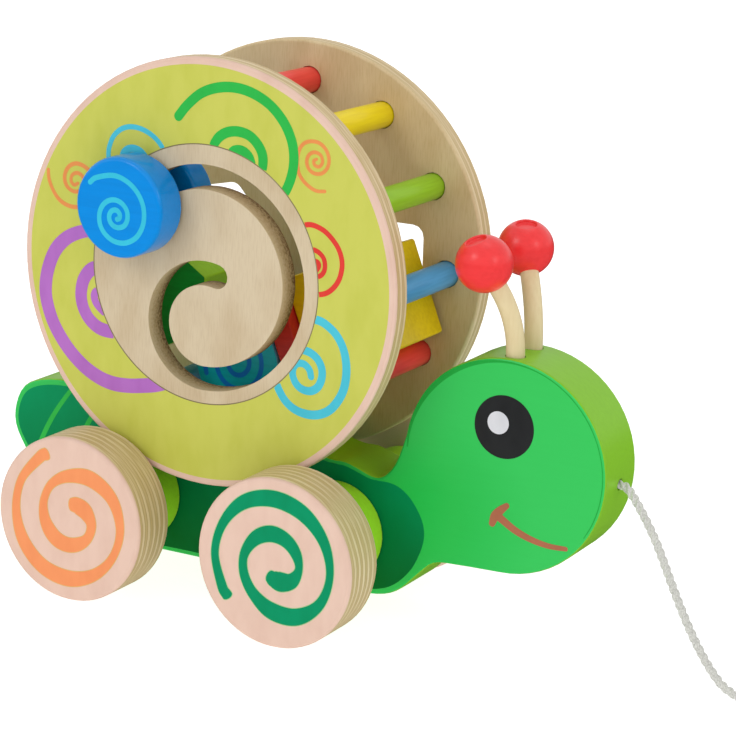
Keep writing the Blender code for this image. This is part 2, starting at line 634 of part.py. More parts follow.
def add_blocks(drum):
    """The four loose blocks as they lie in the drum."""
    far = BLOCK_FRONT_Y + BLOCK_DEPTH
    x, z = round_block_centre()
    profile = rounded_rod(ROUND_BLOCK_RADIUS, BLOCK_FRONT_Y, far, BLOCK_EDGE_ROUND)
    add("block_round", turned(profile, ROUND_SEGMENTS), "1E8E9C", (x, 0, z), drum)
    cube_centre, brick_centre = leaning_centres()
    cube_far = DISC_INNER_Y - CUBE_BACK_GAP
    reach = ROUND_BLOCK_RADIUS + HEXAGON_BLOCK_RADIUS + SEAT_GAP
    hexagon_centre = polar(reach, HEXAGON_LEAN_ANGLE, (x, z))
    fillet = BLOCK_EDGE_ROUND
    cube = tilted_rectangle(CUBE_SIDE, CUBE_SIDE, CUBE_TILT, (0, 0), fillet)
    brick = tilted_rectangle(BRICK_WIDTH, BRICK_HEIGHT, CUBE_TILT, (0, 0), fillet)
    hexagon = hexagon_outline(HEXAGON_BLOCK_RADIUS, HEXAGON_LEAN_ANGLE, (0, 0), fillet)
    blocks = (
        ("block_cube", cube, "F2D400", cube_centre, cube_far - CUBE_SIDE, cube_far),
        ("block_brick", brick, "D8342C", brick_centre, BLOCK_FRONT_Y, far),
        ("block_hexagon", hexagon, "6FB01E", hexagon_centre, BLOCK_FRONT_Y, far),
    )
    for name, outline, colour, centre, low, high in blocks:
        block = add(name, prism(outline, low, high), colour, (centre[0], 0, centre[1]), drum)
        round_edges(block, fillet / 2)


def coil_points(start, heading):
    """Two layers of turns that begin at a point and heading, wind in, climb and wind out again."""
    outer = COIL_MID_RADIUS + COIL_PITCH * COIL_TURNS / 2
    inner = COIL_MID_RADIUS - COIL_PITCH * COIL_TURNS / 2
    flat = Vector((heading.x, heading.y, 0)).normalized()
    left = Vector((-flat.y, flat.x, 0))
    centre = start + flat * 2 * CORD_RADIUS + left * outer
    per_layer = round(COIL_POINTS_PER_TURN * COIL_TURNS)
    climb = COIL_POINTS_PER_TURN // 2
    points = [start]
    for i in range(2 * per_layer + climb + 1):
        if i <= per_layer:
            radius = outer - COIL_PITCH * i / COIL_POINTS_PER_TURN
            rise = 0.0
        elif i < per_layer + climb:
            share = (i - per_layer) / climb
            radius = inner - COIL_CLIMB_DIP * math.sin(math.pi * share)
            rise = COIL_PITCH * (1 - math.cos(math.pi * share)) / 2
        else:
            radius = inner + COIL_PITCH * (i - per_layer - climb) / COIL_POINTS_PER_TURN
            rise = COIL_PITCH
        turn = math.tau * i / COIL_POINTS_PER_TURN
        around = flat * math.sin(turn) - left * math.cos(turn)
        points.append(centre + around * radius + Vector((0, 0, rise)))
    last = (points[-1] - points[-2]).normalized()
    points.append(points[-1] + last * 2 * CORD_RADIUS)
    return points, centre, inner, outer


def least_self_gap(points, radius):
    """Least clear distance between turns of a tube, from points that lie half a turn or more apart."""
    apart = COIL_POINTS_PER_TURN // 2
    least = math.inf
    for i, a in enumerate(points):
        for b, c in zip(points[i + apart :], points[i + apart + 1 :]):
            along = c - b
            share = min(1.0, max(0.0, (a - b).dot(along) / along.length_squared))
            least = min(least, (a - b - along * share).length)
    return least - 2 * radius


def add_cord():
    """The pull cord from the head to the floor, its put-away coil, the coil's tie and the end knot."""
    route = [Vector((DRUM_X + x * MM, y * MM, z * MM)) for x, y, z in CORD_ROUTE]
    lead = [2 * route[0] - route[1]] + route + [2 * route[-1] - route[-2]]
    points = smooth_run(lead, CORD_STEPS)
    heading = (route[-1] - route[-2]).normalized()
    add("pull_cord", tube(points, CORD_RADIUS, 2), "D8D8D0")
    turns, centre, inner, outer = coil_points(route[-1] + heading * SEAT_GAP, heading)
    print(f"least gap between the coil's turns: {least_self_gap(turns, CORD_RADIUS) / MM:.2f} mm")
    add("cord_coil", tube(turns, CORD_RADIUS, 1), "D8D8D0")
    add_tie(centre, inner, outer)
    knot_axis = (turns[-1] - turns[-2]).normalized()
    knot = bmesh.new()
    bmesh.ops.create_uvsphere(knot, u_segments=16, v_segments=10, radius=1.0)
    bmesh.ops.scale(knot, verts=knot.verts, vec=(KNOT_RADIUS, KNOT_RADIUS, KNOT_LENGTH))
    end_knot = add("cord_end_knot", mesh_of(knot), "D8D8D0")
    end_knot.location = turns[-1] + knot_axis * (KNOT_LENGTH + SEAT_GAP)
    end_knot.rotation_euler = Vector((0, 0, 1)).rotation_difference(knot_axis).to_euler()


def add_tie(centre, inner, outer):
    """A flat band round the coil's two layers, on the side away from the toy."""
    half_width = (outer - inner) / 2 + CORD_RADIUS + SEAT_GAP
    low = -CORD_RADIUS - SEAT_GAP
    high = COIL_PITCH + CORD_RADIUS + SEAT_GAP
    middle_z = (low + high) / 2
    bm = bmesh.new()
    loops = []
    for grow in (0.0, TIE_THICKNESS):
        size = (2 * (half_width + grow), high - low + 2 * grow)
        outline = tilted_rectangle(*size, 0, (COIL_MID_RADIUS, middle_z), CORD_RADIUS + grow)
        for y in (-TIE_WIDTH / 2, TIE_WIDTH / 2):
            loops.append([bm.verts.new((x, y, z)) for x, z in outline])
    inner_near, inner_far, outer_near, outer_far = loops
    around = (outer_near, outer_far, inner_far, inner_near, outer_near)
    for first, second in zip(around, around[1:]):
        for i in range(len(first)):
            k = (i + 1) % len(first)
            bm.faces.new((first[i], first[k], second[k], second[i]))
    add("coil_tie", mesh_of(bm), "F03A3C", centre)


def main():
    """Clears the scene and builds the toy."""
    for obj in list(bpy.data.objects):
        bpy.data.objects.remove(obj, do_unlink=True)
    drum = axis_empty("drum_axis", (DRUM_X, 0, DRUM_HEIGHT))
    add_body()
    add_drum(drum)
    add_slider(drum)
    add_running_gear()
    add_antennae()
    add_blocks(drum)
    add_cord()


main()
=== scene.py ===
"""Wooden pull-along snail, dressed around its CAD frame.

Plywood shell discs with a spiral slot, painted dowels, printed wheels, a painted body slab with a
face, bead antennae, loose sorting blocks and a twisted pull cord. Sizes are in millimetres in the
row frame (+X towards the head, +Z up) and become metres where meshes are made.
"""

import json
import logging
import math
from dataclasses import KW_ONLY, dataclass
from enum import Enum, IntEnum
from typing import Any, Callable, Iterable, Mapping, Sequence

import bmesh
import bpy
from mathutils import Matrix, Vector

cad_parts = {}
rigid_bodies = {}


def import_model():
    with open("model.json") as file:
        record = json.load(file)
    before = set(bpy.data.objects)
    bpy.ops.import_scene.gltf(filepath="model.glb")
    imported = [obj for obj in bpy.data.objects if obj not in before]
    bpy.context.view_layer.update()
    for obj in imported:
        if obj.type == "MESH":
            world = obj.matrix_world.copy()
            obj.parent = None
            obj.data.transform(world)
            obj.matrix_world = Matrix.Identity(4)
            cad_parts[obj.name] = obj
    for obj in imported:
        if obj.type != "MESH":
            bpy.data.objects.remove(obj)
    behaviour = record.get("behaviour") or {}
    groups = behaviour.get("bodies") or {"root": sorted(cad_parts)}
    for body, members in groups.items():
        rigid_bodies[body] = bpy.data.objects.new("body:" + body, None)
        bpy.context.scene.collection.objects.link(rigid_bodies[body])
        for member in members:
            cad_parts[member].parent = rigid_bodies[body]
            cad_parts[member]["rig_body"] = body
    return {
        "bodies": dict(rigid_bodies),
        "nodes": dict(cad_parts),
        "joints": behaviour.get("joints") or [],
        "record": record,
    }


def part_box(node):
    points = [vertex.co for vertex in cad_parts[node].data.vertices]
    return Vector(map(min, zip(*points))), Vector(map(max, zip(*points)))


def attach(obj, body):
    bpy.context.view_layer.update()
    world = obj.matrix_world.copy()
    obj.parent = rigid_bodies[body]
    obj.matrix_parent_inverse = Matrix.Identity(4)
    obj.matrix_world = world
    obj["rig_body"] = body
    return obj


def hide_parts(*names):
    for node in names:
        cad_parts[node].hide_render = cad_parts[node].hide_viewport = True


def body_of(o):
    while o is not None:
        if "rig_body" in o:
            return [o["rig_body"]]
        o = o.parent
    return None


MM = 0.001
LOG = logging.getLogger("pull_along_snail")

Material, Object, Scene = bpy.types.Material, bpy.types.Object, bpy.types.Scene
Node, NodeTree, Socket = bpy.types.Node, bpy.types.NodeTree, bpy.types.NodeSocket
BMesh = bmesh.types.BMesh
Loop = list[tuple[float, float]]
Spot = tuple[float, float, float]
Stops = Sequence[tuple[float, str]]
FacePick = Callable[[Vector, Vector], int]


class Side(Enum):
    """Which side of the toy a piece is on. The right side faces the camera."""

    RIGHT = -1
    LEFT = 1


class Body(Enum):
    """Bodies of the frame that carry the pieces made here."""

    SNAIL = "snail_frame"
    FRONT_WHEELS = "front_wheel_set"
    REAR_WHEELS = "rear_wheel_set"
    KNOBS = "slider_knobs"
    ROUND_BLOCK = "round_block"


class DiscFace(IntEnum):
    """Kinds of face on a shell disc, in the order of their finishes."""

    VENEER = 0
    RIM = 1
    EDGE = 2
    OPENING = 3
    INSIDE = 4


# Mesh helpers


def through(points: Sequence[Sequence[float]], steps: int) -> list[Vector]:
    """Draws a smooth curve through points.

    Args:
        points: Points of two or more numbers.
        steps: Pieces between two neighbouring points.

    Returns:
        Points on the curve, both ends among them.
    """
    run = [Vector(p) for p in points]
    led = [2 * run[0] - run[1], *run, 2 * run[-1] - run[-2]]
    curve = []
    for a, b, c, d in zip(led, led[1:], led[2:], led[3:]):
        for i in range(steps):
            t = i / steps
            bend = (2 * a - 5 * b + 4 * c - d) * t * t
            twist = (3 * b - a - 3 * c + d) * t * t * t
            curve.append((2 * b + (c - a) * t + bend + twist) / 2)
    return curve + [run[-1]]


def circle(radius: float, centre: tuple[float, float] = (0.0, 0.0), count: int = 96) -> Loop:
    """Points (x, z) round a circle of so many millimetres."""
    turns = [math.tau * i / count for i in range(count)]
    return [(centre[0] + radius * math.cos(a), centre[1] + radius * math.sin(a)) for a in turns]


def along_y(limit: float) -> FacePick:
    """Picks the second finish for faces whose normal has more than this share along Y."""
    return lambda normal, middle: int(abs(normal.y) > limit)


def new_object(name: str, bm: BMesh, materials: Iterable[Material], sharp: float = 40) -> Object:
    """Turns a bmesh into a smooth-shaded object with its materials.

    Args:
        name: Name of the piece.
        bm: The bmesh, which is freed.
        materials: Materials in the order of the faces' indices.
        sharp: Angle in degrees above which an edge stays sharp.

    Returns:
        The linked object.
    """
    bmesh.ops.recalc_face_normals(bm, faces=bm.faces)
    mesh = bpy.data.meshes.new(name)
    bm.to_mesh(mesh)
    bm.free()
    for material in materials:
        mesh.materials.append(material)
    mesh.shade_smooth()
    mesh.set_sharp_from_angle(angle=math.radians(sharp))
    obj = bpy.data.objects.new(name, mesh)
    bpy.context.scene.collection.objects.link(obj)
    return obj


def skin(bm: BMesh, rings: Sequence[Sequence[bmesh.types.BMVert]], capped: bool = False) -> None:
    """Joins closed rings of vertices in order, with triangles where a ring is a single vertex.

    Args:
        bm: The bmesh.
        rings: The rings.
        capped: True closes the first and the last ring with a face.
    """
    for first, second in zip(rings, rings[1:]):
        if len(first) == 1:
            first, second = second, first
        count = len(first)
        for i in range(count):
            k = (i + 1) % count
            ends = (second[0],) if len(second) == 1 else (second[k], second[i])
            bm.faces.new((first[i], first[k], *ends))
    if capped:
        bm.faces.new(rings[0])
        bm.faces.new(rings[-1])


def lathe(profile: Sequence[tuple[float, float]], origin: Vector, axis: Vector, segments: int) -> BMesh:
    """Turns a profile about an axis.

    Args:
        profile: (radius, place along the axis) in millimetres, with a radius of 0 at both ends.
        origin: Point on the axis in millimetres.
        axis: Direction of the axis.
        segments: Steps round the circle.

    Returns:
        A closed bmesh.
    """
    turn = Vector((0, 0, 1)).rotation_difference(axis).to_matrix()
    bm = bmesh.new()
    rings = []
    for radius, along in profile:
        spots = circle(radius, count=segments)[: segments if radius > 0 else 1]
        rings.append([bm.verts.new((origin + turn @ Vector((x, y, along))) * MM) for x, y in spots])
    skin(bm, rings)
    return bm


def sweep(
    path: Sequence[Vector], section: Callable[[float, float], Sequence[tuple[float, float]]], closed: bool = False
) -> BMesh:
    """Sweeps a section along a path without adding twist of its own.

    Args:
        path: Points of the middle line in metres.
        section: Gives the section's (across, up) points from the length so far and the share of
            the path that lies behind.
        closed: True for a path whose end meets its start.

    Returns:
        A closed bmesh.
    """
    bm = bmesh.new()
    count = len(path)
    across = (path[1] - path[0]).normalized().orthogonal().normalized()
    rings = []
    length = 0.0
    for i, point in enumerate(path):
        after = path[(i + 1) % count] if closed else path[min(i + 1, count - 1)]
        before = path[i - 1] if closed or i else path[0]
        heading = (after - before).normalized()
        across = (across - heading * across.dot(heading)).normalized()
        up = heading.cross(across)
        rings.append([bm.verts.new(point + across * a + up * b) for a, b in section(length, i / (count - 1))])
        length += (after - point).length
    skin(bm, [*rings, rings[0]] if closed else rings, capped=not closed)
    return bm


# Shader helpers


def linear(hex_colour: str) -> tuple[float, float, float, float]:
    """Turns an sRGB colour of six hex digits into linear RGBA.

    Args:
        hex_colour: The digits.

    Returns:
        The linear colour with full alpha.
    """
    shares = [int(hex_colour[i : i + 2], 16) / 255 for i in (0, 2, 4)]
    lin = [((s + 0.055) / 1.055) ** 2.4 if s > 0.04045 else s / 12.92 for s in shares]
    return (lin[0], lin[1], lin[2], 1.0)


def add_node(
    tree: NodeTree, kind: str, inputs: Mapping[int | str, Any] | Sequence[Any] = (), stops: Stops = (),
    **options: Any,
) -> Node:
    """Adds a shader node, sets its options, and sets or links its inputs.

    Args:
        tree: Node tree of the material.
        kind: Blender's name for the kind of node, less its "ShaderNode".
        inputs: Values, sockets or nodes, in order or by the input's name or number. A node gives
            its first output.
        stops: A ramp's places and hex colours.
        options: Attributes of the node.

    Returns:
        The new node.
    """
    node = tree.nodes.new(f"ShaderNode{kind}")
    for key, value in options.items():
        setattr(node, key, value)
    if stops:
        elements = node.color_ramp.elements
        while len(elements) < len(stops):
            elements.new(1.0)
        for element, (place, colour) in zip(elements, stops):
            element.position = place
            element.color = linear(colour)
    for key, value in inputs.items() if isinstance(inputs, Mapping) else enumerate(inputs):
        source = value.outputs[0] if isinstance(value, Node) else value
        if isinstance(source, Socket):
            tree.links.new(source, node.inputs[key])
        else:
            node.inputs[key].default_value = source
    return node


def per_mm(*sizes: float) -> tuple[float, ...]:
    """Texture scales that draw features of these sizes in millimetres."""
    return tuple(1 / (size * MM) for size in sizes)


def speckle(tree: NodeTree, sizes: Spot, detail: float = 2.0) -> Node:
    """Adds a noise whose blotches have real sizes.

    Args:
        tree: Node tree of the material.
        sizes: Sizes of the blotches along X, Y and Z in millimetres.
        detail: How many finer layers they have.

    Returns:
        The noise.
    """
    place = add_node(tree, "TexCoord").outputs["Object"]
    scaled = add_node(tree, "Mapping", {0: place, 3: per_mm(*sizes)})
    return add_node(tree, "TexNoise", {"Vector": scaled, "Scale": 1.0, "Detail": detail})


def cover(
    tree: NodeTree, shader: Node, tint: Socket, height: Node, strength: float, depth: float, sunk: bool = False
) -> None:
    """Gives a shader its tint and its relief.

    Args:
        tree: Node tree of the material.
        shader: The shader.
        tint: Its colour.
        height: Node that gives the relief.
        strength: How much of the relief shows.
        depth: The relief's depth in millimetres.
        sunk: True where high values lie deep.
    """
    bump = add_node(tree, "Bump", {"Strength": strength, "Distance": depth * MM, "Height": height}, invert=sunk)
    tree.links.new(tint, shader.inputs["Base Color"])
    tree.links.new(bump.outputs[0], shader.inputs["Normal"])


def blend_over(tree: NodeTree, shader: Node, share: Node, stops: Stops, weight: float = 0.75) -> None:
    """Lays a colour run over the tint that a shader already has.

    Args:
        tree: Node tree of the material.
        shader: The shader, whose base colour is linked.
        share: Node that gives the place on the run, 0 to 1.
        stops: Places and hex colours of the run.
        weight: How much of the run shows.
    """
    run = add_node(tree, "ValToRGB", (share,), stops)
    tint = shader.inputs["Base Color"].links[0].from_socket
    mixed = add_node(tree, "Mix", {0: weight, 6: tint, 7: run}, data_type="RGBA")
    tree.links.new(mixed.outputs[2], shader.inputs["Base Color"])


# Finishes


@dataclass(frozen=True)
class Finish:
    """A surface finish, which becomes one material under its own name.

    Lacquer, varnish, ink, nylon and acrylic all bend light about alike, so they share one IOR.
    """

    name: str
    _: KW_ONLY
    roughness: float = 0.4
    specular: float = 0.4
    coat: float = 0.0
    coat_roughness: float = 0.1
    sheen: float = 0.0
    glow: float = 0.0
    ior: float = 1.5

    def material(self) -> Material:
        """Makes the material, or finds it if it exists.

        Returns:
            The material of this finish.
        """
        found = bpy.data.materials.get(self.name)
        if found:
            return found
        material = bpy.data.materials.new(self.name)
        material.use_nodes = True
        shader = material.node_tree.nodes["Principled BSDF"]
        constants = {
            "Roughness": self.roughness, "IOR": self.ior, "Specular IOR Level": self.specular,
            "Coat Weight": self.coat, "Coat Roughness": self.coat_roughness, "Sheen Weight": self.sheen,
            "Emission Strength": self.glow,
        }
        for socket, value in constants.items():
            shader.inputs[socket].default_value = value
        self.dress(material.node_tree, shader)
        return material

    def dress(self, tree: NodeTree, shader: Node) -> None:
        """Adds the finish's own nodes. Each kind of finish has its own."""
        raise NotImplementedError


@dataclass(frozen=True)
class Mottled(Finish):
    """A colour that shades off in patches, over a fine relief. Sizes are in millimetres along X, Y and Z."""

    colour: str = "FFFFFF"
    shade: str = "EEEEEE"
    _: KW_ONLY
    patch: Spot = (1.0, 1.0, 1.0)
    patch_detail: float = 2.0
    span: tuple[float, float] = (0.3, 0.6)
    relief: Spot = (1.0, 1.0, 1.0)
    relief_detail: float = 2.0
    strength: float = 0.0
    depth: float = 0.1

    def dress(self, tree: NodeTree, shader: Node) -> None:
        """Adds the patches, which run from the shade to the colour, and the relief.

        Args:
            tree: Node tree of the material.
            shader: Its shader.
        """
        patch = speckle(tree, self.patch, self.patch_detail)
        tint = add_node(tree, "ValToRGB", (patch,), tuple(zip(self.span, (self.shade, self.colour))))
        relief = speckle(tree, self.relief, self.relief_detail)
        cover(tree, shader, tint.outputs[0], relief, self.strength, self.depth)


@dataclass(frozen=True)
class SprayedLacquer(Mottled):
    """Coloured lacquer sprayed on sanded beech.

    A clear, even colour with soft reflections, a faint waviness along the grain, and the slight
    orange peel that spraying leaves, about 1 mm across. Beech rays are 0.5 mm wide, too fine to
    show under lacquer, so the patches are drawn coarser.
    """

    _: KW_ONLY
    patch: Spot = (14.0, 1.3, 1.3)
    patch_detail: float = 3.0
    span: tuple[float, float] = (0.3, 0.62)
    relief: Spot = (1.2, 1.2, 1.2)
    strength: float = 0.05
    roughness: float = 0.38
    specular: float = 0.2
    coat: float = 0.2
    coat_roughness: float = 0.2


@dataclass(frozen=True)
class LacquerWithPaintedNeckShade(SprayedLacquer):
    """Green lacquer on the slab's faces, with painted shade of the shell drum over the neck."""

    # Painted shade: the deeper green where the shell drum shades the neck
    deep: str = "1EC04C"
    neck: Spot = (54.0, 0.0, 38.0)
    reach: float = 36.0

    def dress(self, tree: NodeTree, shader: Node) -> None:
        """Adds the plain lacquer, then the painted shade that fades out from the neck.

        Args:
            tree: Node tree of the material.
            shader: Its shader.
        """
        super().dress(tree, shader)
        place = add_node(tree, "TexCoord").outputs["Object"]
        flat = add_node(tree, "VectorMath", (place, (1.0, 0.0, 1.0)), operation="MULTIPLY")
        away = add_node(tree, "VectorMath", (flat, Vector(self.neck) * MM), operation="DISTANCE").outputs["Value"]
        share = add_node(tree, "Math", (away, *per_mm(self.reach)), operation="MULTIPLY")
        # Lays the painted neck shade over the lacquer
        blend_over(tree, shader, share, ((0.3, self.deep), (1.0, self.colour)))


@dataclass(frozen=True)
class BirchVeneer(Finish):
    """Face of birch plywood, sanded and clear varnished.

    Pale and nearly even, with short darker flecks along the grain and broad soft clouds.
    """

    light: str = "D6C4A4"
    dark: str = "CEBA99"
    cloud: str = "F3EEE7"
    _: KW_ONLY
    roughness: float = 0.42
    coat: float = 0.2
    coat_roughness: float = 0.3

    def dress(self, tree: NodeTree, shader: Node) -> None:
        """Adds flecks along the grain, clouds and a shallow relief.

        Args:
            tree: Node tree of the material.
            shader: Its shader.
        """
        # Birch pores are 0.1 mm wide, too fine to show, so the flecks are drawn 0.5 mm wide
        fleck = speckle(tree, (0.5, 0.5, 5.0), 4.0)
        tint = add_node(tree, "ValToRGB", (fleck,), ((0.3, self.dark), (0.55, self.light)))
        # Clouds in rotary-cut veneer are one to three centimetres across
        cloud = speckle(tree, (14.0, 14.0, 30.0))
        haze = add_node(tree, "ValToRGB", (cloud,), ((0.35, self.cloud), (0.6, "FFFFFF")))
        mixed = add_node(tree, "Mix", {0: 1.0, 6: tint, 7: haze}, data_type="RGBA", blend_type="MULTIPLY")
        cover(tree, shader, mixed.outputs[2], fleck, strength=0.12, depth=0.08)


@dataclass(frozen=True)
class PlywoodEdge(Finish):
    """Sawn and sanded edge of birch plywood.

    Plies lie across each other, so round the rim each ply turns from pale long grain to darker,
    rougher end grain and back, with thin brown glue lines between them.
    """

    long_grain: str = "E6D3AC"
    end_grain: str = "C6AD7A"
    glue: str = "BC9F74"
    _: KW_ONLY
    ply: float = 1.45
    waver: float = 1.6
    end_weight: float = 0.45
    fibre_weight: float = 0.9
    glue_weight: float = 0.7
    roughness: float = 0.55
    coat: float = 0.12
    coat_roughness: float = 0.35

    def dress(self, tree: NodeTree, shader: Node) -> None:
        """Adds plies that change tone with the grain's direction, glue lines and fibres.

        Args:
            tree: Node tree of the material.
            shader: Its shader.
        """
        coords = add_node(tree, "TexCoord")
        # The plies wander by a few tenths of a millimetre over some centimetres
        waver = speckle(tree, (16.0, 16.0, 16.0))
        depth = add_node(tree, "SeparateXYZ", (coords.outputs["Object"],)).outputs[1]
        moved = add_node(tree, "Math", (waver, self.waver * MM, depth), operation="MULTIPLY_ADD")
        pairs = add_node(tree, "Math", (moved, *per_mm(2 * self.ply)), operation="MULTIPLY")
        share = add_node(tree, "Math", (pairs,), operation="FRACT")
        plies = ((0.0, "000000"), (0.46, "000000"), (0.54, "FFFFFF"), (0.96, "FFFFFF"), (1.0, "000000"))
        odd = add_node(tree, "ValToRGB", (share,), plies)
        facing = add_node(tree, "SeparateXYZ", (coords.outputs["Normal"],))
        across = add_node(tree, "Math", (facing, 2.0), operation="POWER")
        ends = add_node(tree, "Math", (odd, across), operation="SUBTRACT")
        end_share = add_node(tree, "Math", (ends,), operation="ABSOLUTE")
        end_tone = add_node(tree, "Math", (end_share, self.end_weight), operation="MULTIPLY")
        # Torn fibres run along a ply for a centimetre, drawn 0.6 mm wide so that they show
        fibre = speckle(tree, (10.0, 0.6, 10.0), 4.0)
        inputs = (fibre, self.fibre_weight, end_tone)
        spread = add_node(tree, "Math", inputs, operation="MULTIPLY_ADD", use_clamp=True)
        wood = add_node(tree, "ValToRGB", (spread,), ((0.3, self.long_grain), (0.85, self.end_grain)))
        white, glue = "FFFFFF", self.glue
        seams = ((0.0, glue), (0.05, white), (0.44, white), (0.5, glue), (0.56, white), (0.95, white), (1.0, glue))
        lines = add_node(tree, "ValToRGB", (share,), seams)
        inputs = {0: self.glue_weight, 6: wood, 7: lines}
        mixed = add_node(tree, "Mix", inputs, data_type="RGBA", blend_type="MULTIPLY")
        cover(tree, shader, mixed.outputs[2], spread, strength=0.35, depth=0.12, sunk=True)


@dataclass(frozen=True)
class RoutedEdge(Finish):
    """Wall of an opening routed in birch plywood.

    The cutter smears the plies together: tan near the face, browner and speckled with open pores
    towards the back, partly scorch where it ran hot and partly painted shade deeper in the opening.
    """

    face: str = "D0BC94"
    middle: str = "BDA578"
    # Dark brown at the back of the wall: partly scorch, partly painted shade
    back: str = "735830"
    _: KW_ONLY
    face_depth: float = 34.0
    wall: float = 8.0
    clean: float = 0.6
    pore_weight: float = 1.2
    roughness: float = 0.6

    def dress(self, tree: NodeTree, shader: Node) -> None:
        """Adds a run from tan to brown through the wall, partly painted shade towards the back, broken up by pores.

        Args:
            tree: Node tree of the material.
            shader: Its shader.
        """
        place = add_node(tree, "TexCoord").outputs["Object"]
        across = add_node(tree, "SeparateXYZ", (place,)).outputs[1]
        away = add_node(tree, "Math", (across,), operation="ABSOLUTE")
        inputs = (away, -per_mm(self.wall)[0], self.face_depth / self.wall - self.clean)
        depth = add_node(tree, "Math", inputs, operation="MULTIPLY_ADD")
        # Open pores are 0.1 mm wide, too fine to show, so they are drawn 0.8 mm wide
        pore = speckle(tree, (0.8, 0.8, 0.8), 3.0)
        inputs = (pore, self.pore_weight, depth)
        share = add_node(tree, "Math", inputs, operation="MULTIPLY_ADD", use_clamp=True)
        tint = add_node(tree, "ValToRGB", (share,), ((0.15, self.face), (0.6, self.middle), (1.0, self.back)))
        cover(tree, shader, tint.outputs[0], pore, strength=0.4, depth=0.12)


@dataclass(frozen=True)
class ScreenInk(Mottled):
    """Screen-printed ink on varnished wood: flat, satin, very slightly uneven in cover.

    Cover changes over about 6 mm, as the squeegee leaves it. A screen's mesh is 0.1 mm, too fine to
    show, so its relief is drawn at 0.5 mm.
    """

    _: KW_ONLY
    patch: Spot = (6.0, 6.0, 14.0)
    patch_detail: float = 5.0
    relief: Spot = (0.5, 0.5, 0.5)
    strength: float = 0.08
    depth: float = 0.05
    roughness: float = 0.5
    specular: float = 0.2
    coat: float = 0.08
    coat_roughness: float = 0.25


@dataclass(frozen=True)
class InkWithFootShade(ScreenInk):
    """Screen ink that darkens towards the foot, partly its own deeper green, partly painted shade."""

    # Darker green at the foot: partly the print's own, partly painted shade between the wheels
    low: str = "005C0A"
    low_z: float = 14.0
    high_z: float = 54.0

    def dress(self, tree: NodeTree, shader: Node) -> None:
        """Adds the plain ink, then the darker green towards the foot, which is partly painted shade.

        Args:
            tree: Node tree of the material.
            shader: Its shader.
        """
        super().dress(tree, shader)
        place = add_node(tree, "TexCoord").outputs["Object"]
        height = add_node(tree, "SeparateXYZ", (place,)).outputs[2]
        span = self.high_z - self.low_z
        inputs = (height, *per_mm(span), -self.low_z / span)
        share = add_node(tree, "Math", inputs, operation="MULTIPLY_ADD", use_clamp=True)
        blend_over(tree, shader, share, ((0.0, self.low), (1.0, self.colour)))


@dataclass(frozen=True)
class TwistedNylon(Mottled):
    """Twisted nylon yarn: white with a soft sheen, and a grey mottle painted as the shade between its fibres.

    Filaments are 0.05 mm thick, too fine to show, so they are drawn 0.5 mm thick.
    """

    colour: str = "DEDED7"
    # Grey mottle: painted shade between the fibres
    shade: str = "BFBFB8"
    _: KW_ONLY
    patch: Spot = (0.5, 0.5, 0.5)
    patch_detail: float = 3.0
    span: tuple[float, float] = (0.32, 0.6)
    relief: Spot = (0.5, 0.5, 0.5)
    relief_detail: float = 3.0
    strength: float = 0.5
    depth: float = 0.12
    sheen: float = 0.2
    roughness: float = 0.5


@dataclass(frozen=True)
class WovenTape(Finish):
    """Plain-woven polyester tape: matt, with warp and weft threads crossing."""

    colour: str = "D8323A"
    # Dark red in the gaps between threads: painted shade
    shade: str = "7A1418"
    _: KW_ONLY
    thread: float = 0.7
    waver: float = 0.4
    roughness: float = 0.75

    def dress(self, tree: NodeTree, shader: Node) -> None:
        """Adds crossing threads, with painted shade in the gaps between them, which also stand up in the bump.

        Args:
            tree: Node tree of the material.
            shader: Its shader.
        """
        place = add_node(tree, "TexCoord").outputs["Object"]
        inputs = {"Vector": place, "Scale": per_mm(self.thread)[0] / math.tau, "Distortion": self.waver}
        threads = [add_node(tree, "TexWave", inputs, bands_direction=way).outputs["Fac"] for way in ("X", "Y")]
        weave = add_node(tree, "Math", threads, operation="MULTIPLY")
        tint = add_node(tree, "ValToRGB", (weave,), ((0.0, self.shade), (0.45, self.colour)))
        cover(tree, shader, tint.outputs[0], weave, strength=0.6, depth=0.15)


@dataclass(frozen=True)
class LightTable(Mottled):
    """Opal acrylic table lit from below: it outshines what falls on it, so next to no shadow shows.

    Its tooth is about 3 mm across and barely shows.
    """

    colour: str = "AEAEAE"
    shade: str = "A8A8A8"
    _: KW_ONLY
    patch: Spot = (3.0, 3.0, 3.0)
    span: tuple[float, float] = (0.0, 1.0)
    glow: float = 0.88
    roughness: float = 0.9


BIRCH_FACE = BirchVeneer("clear_varnished_birch_veneer")
INNER_FACE = BirchVeneer("bare_birch_veneer", "DCC79E", "D3BC90", coat=0.0, specular=0.2)
PLY_EDGE = PlywoodEdge("sanded_birch_plywood_edge")
SLOT_EDGE = RoutedEdge("routed_birch_plywood_edge")
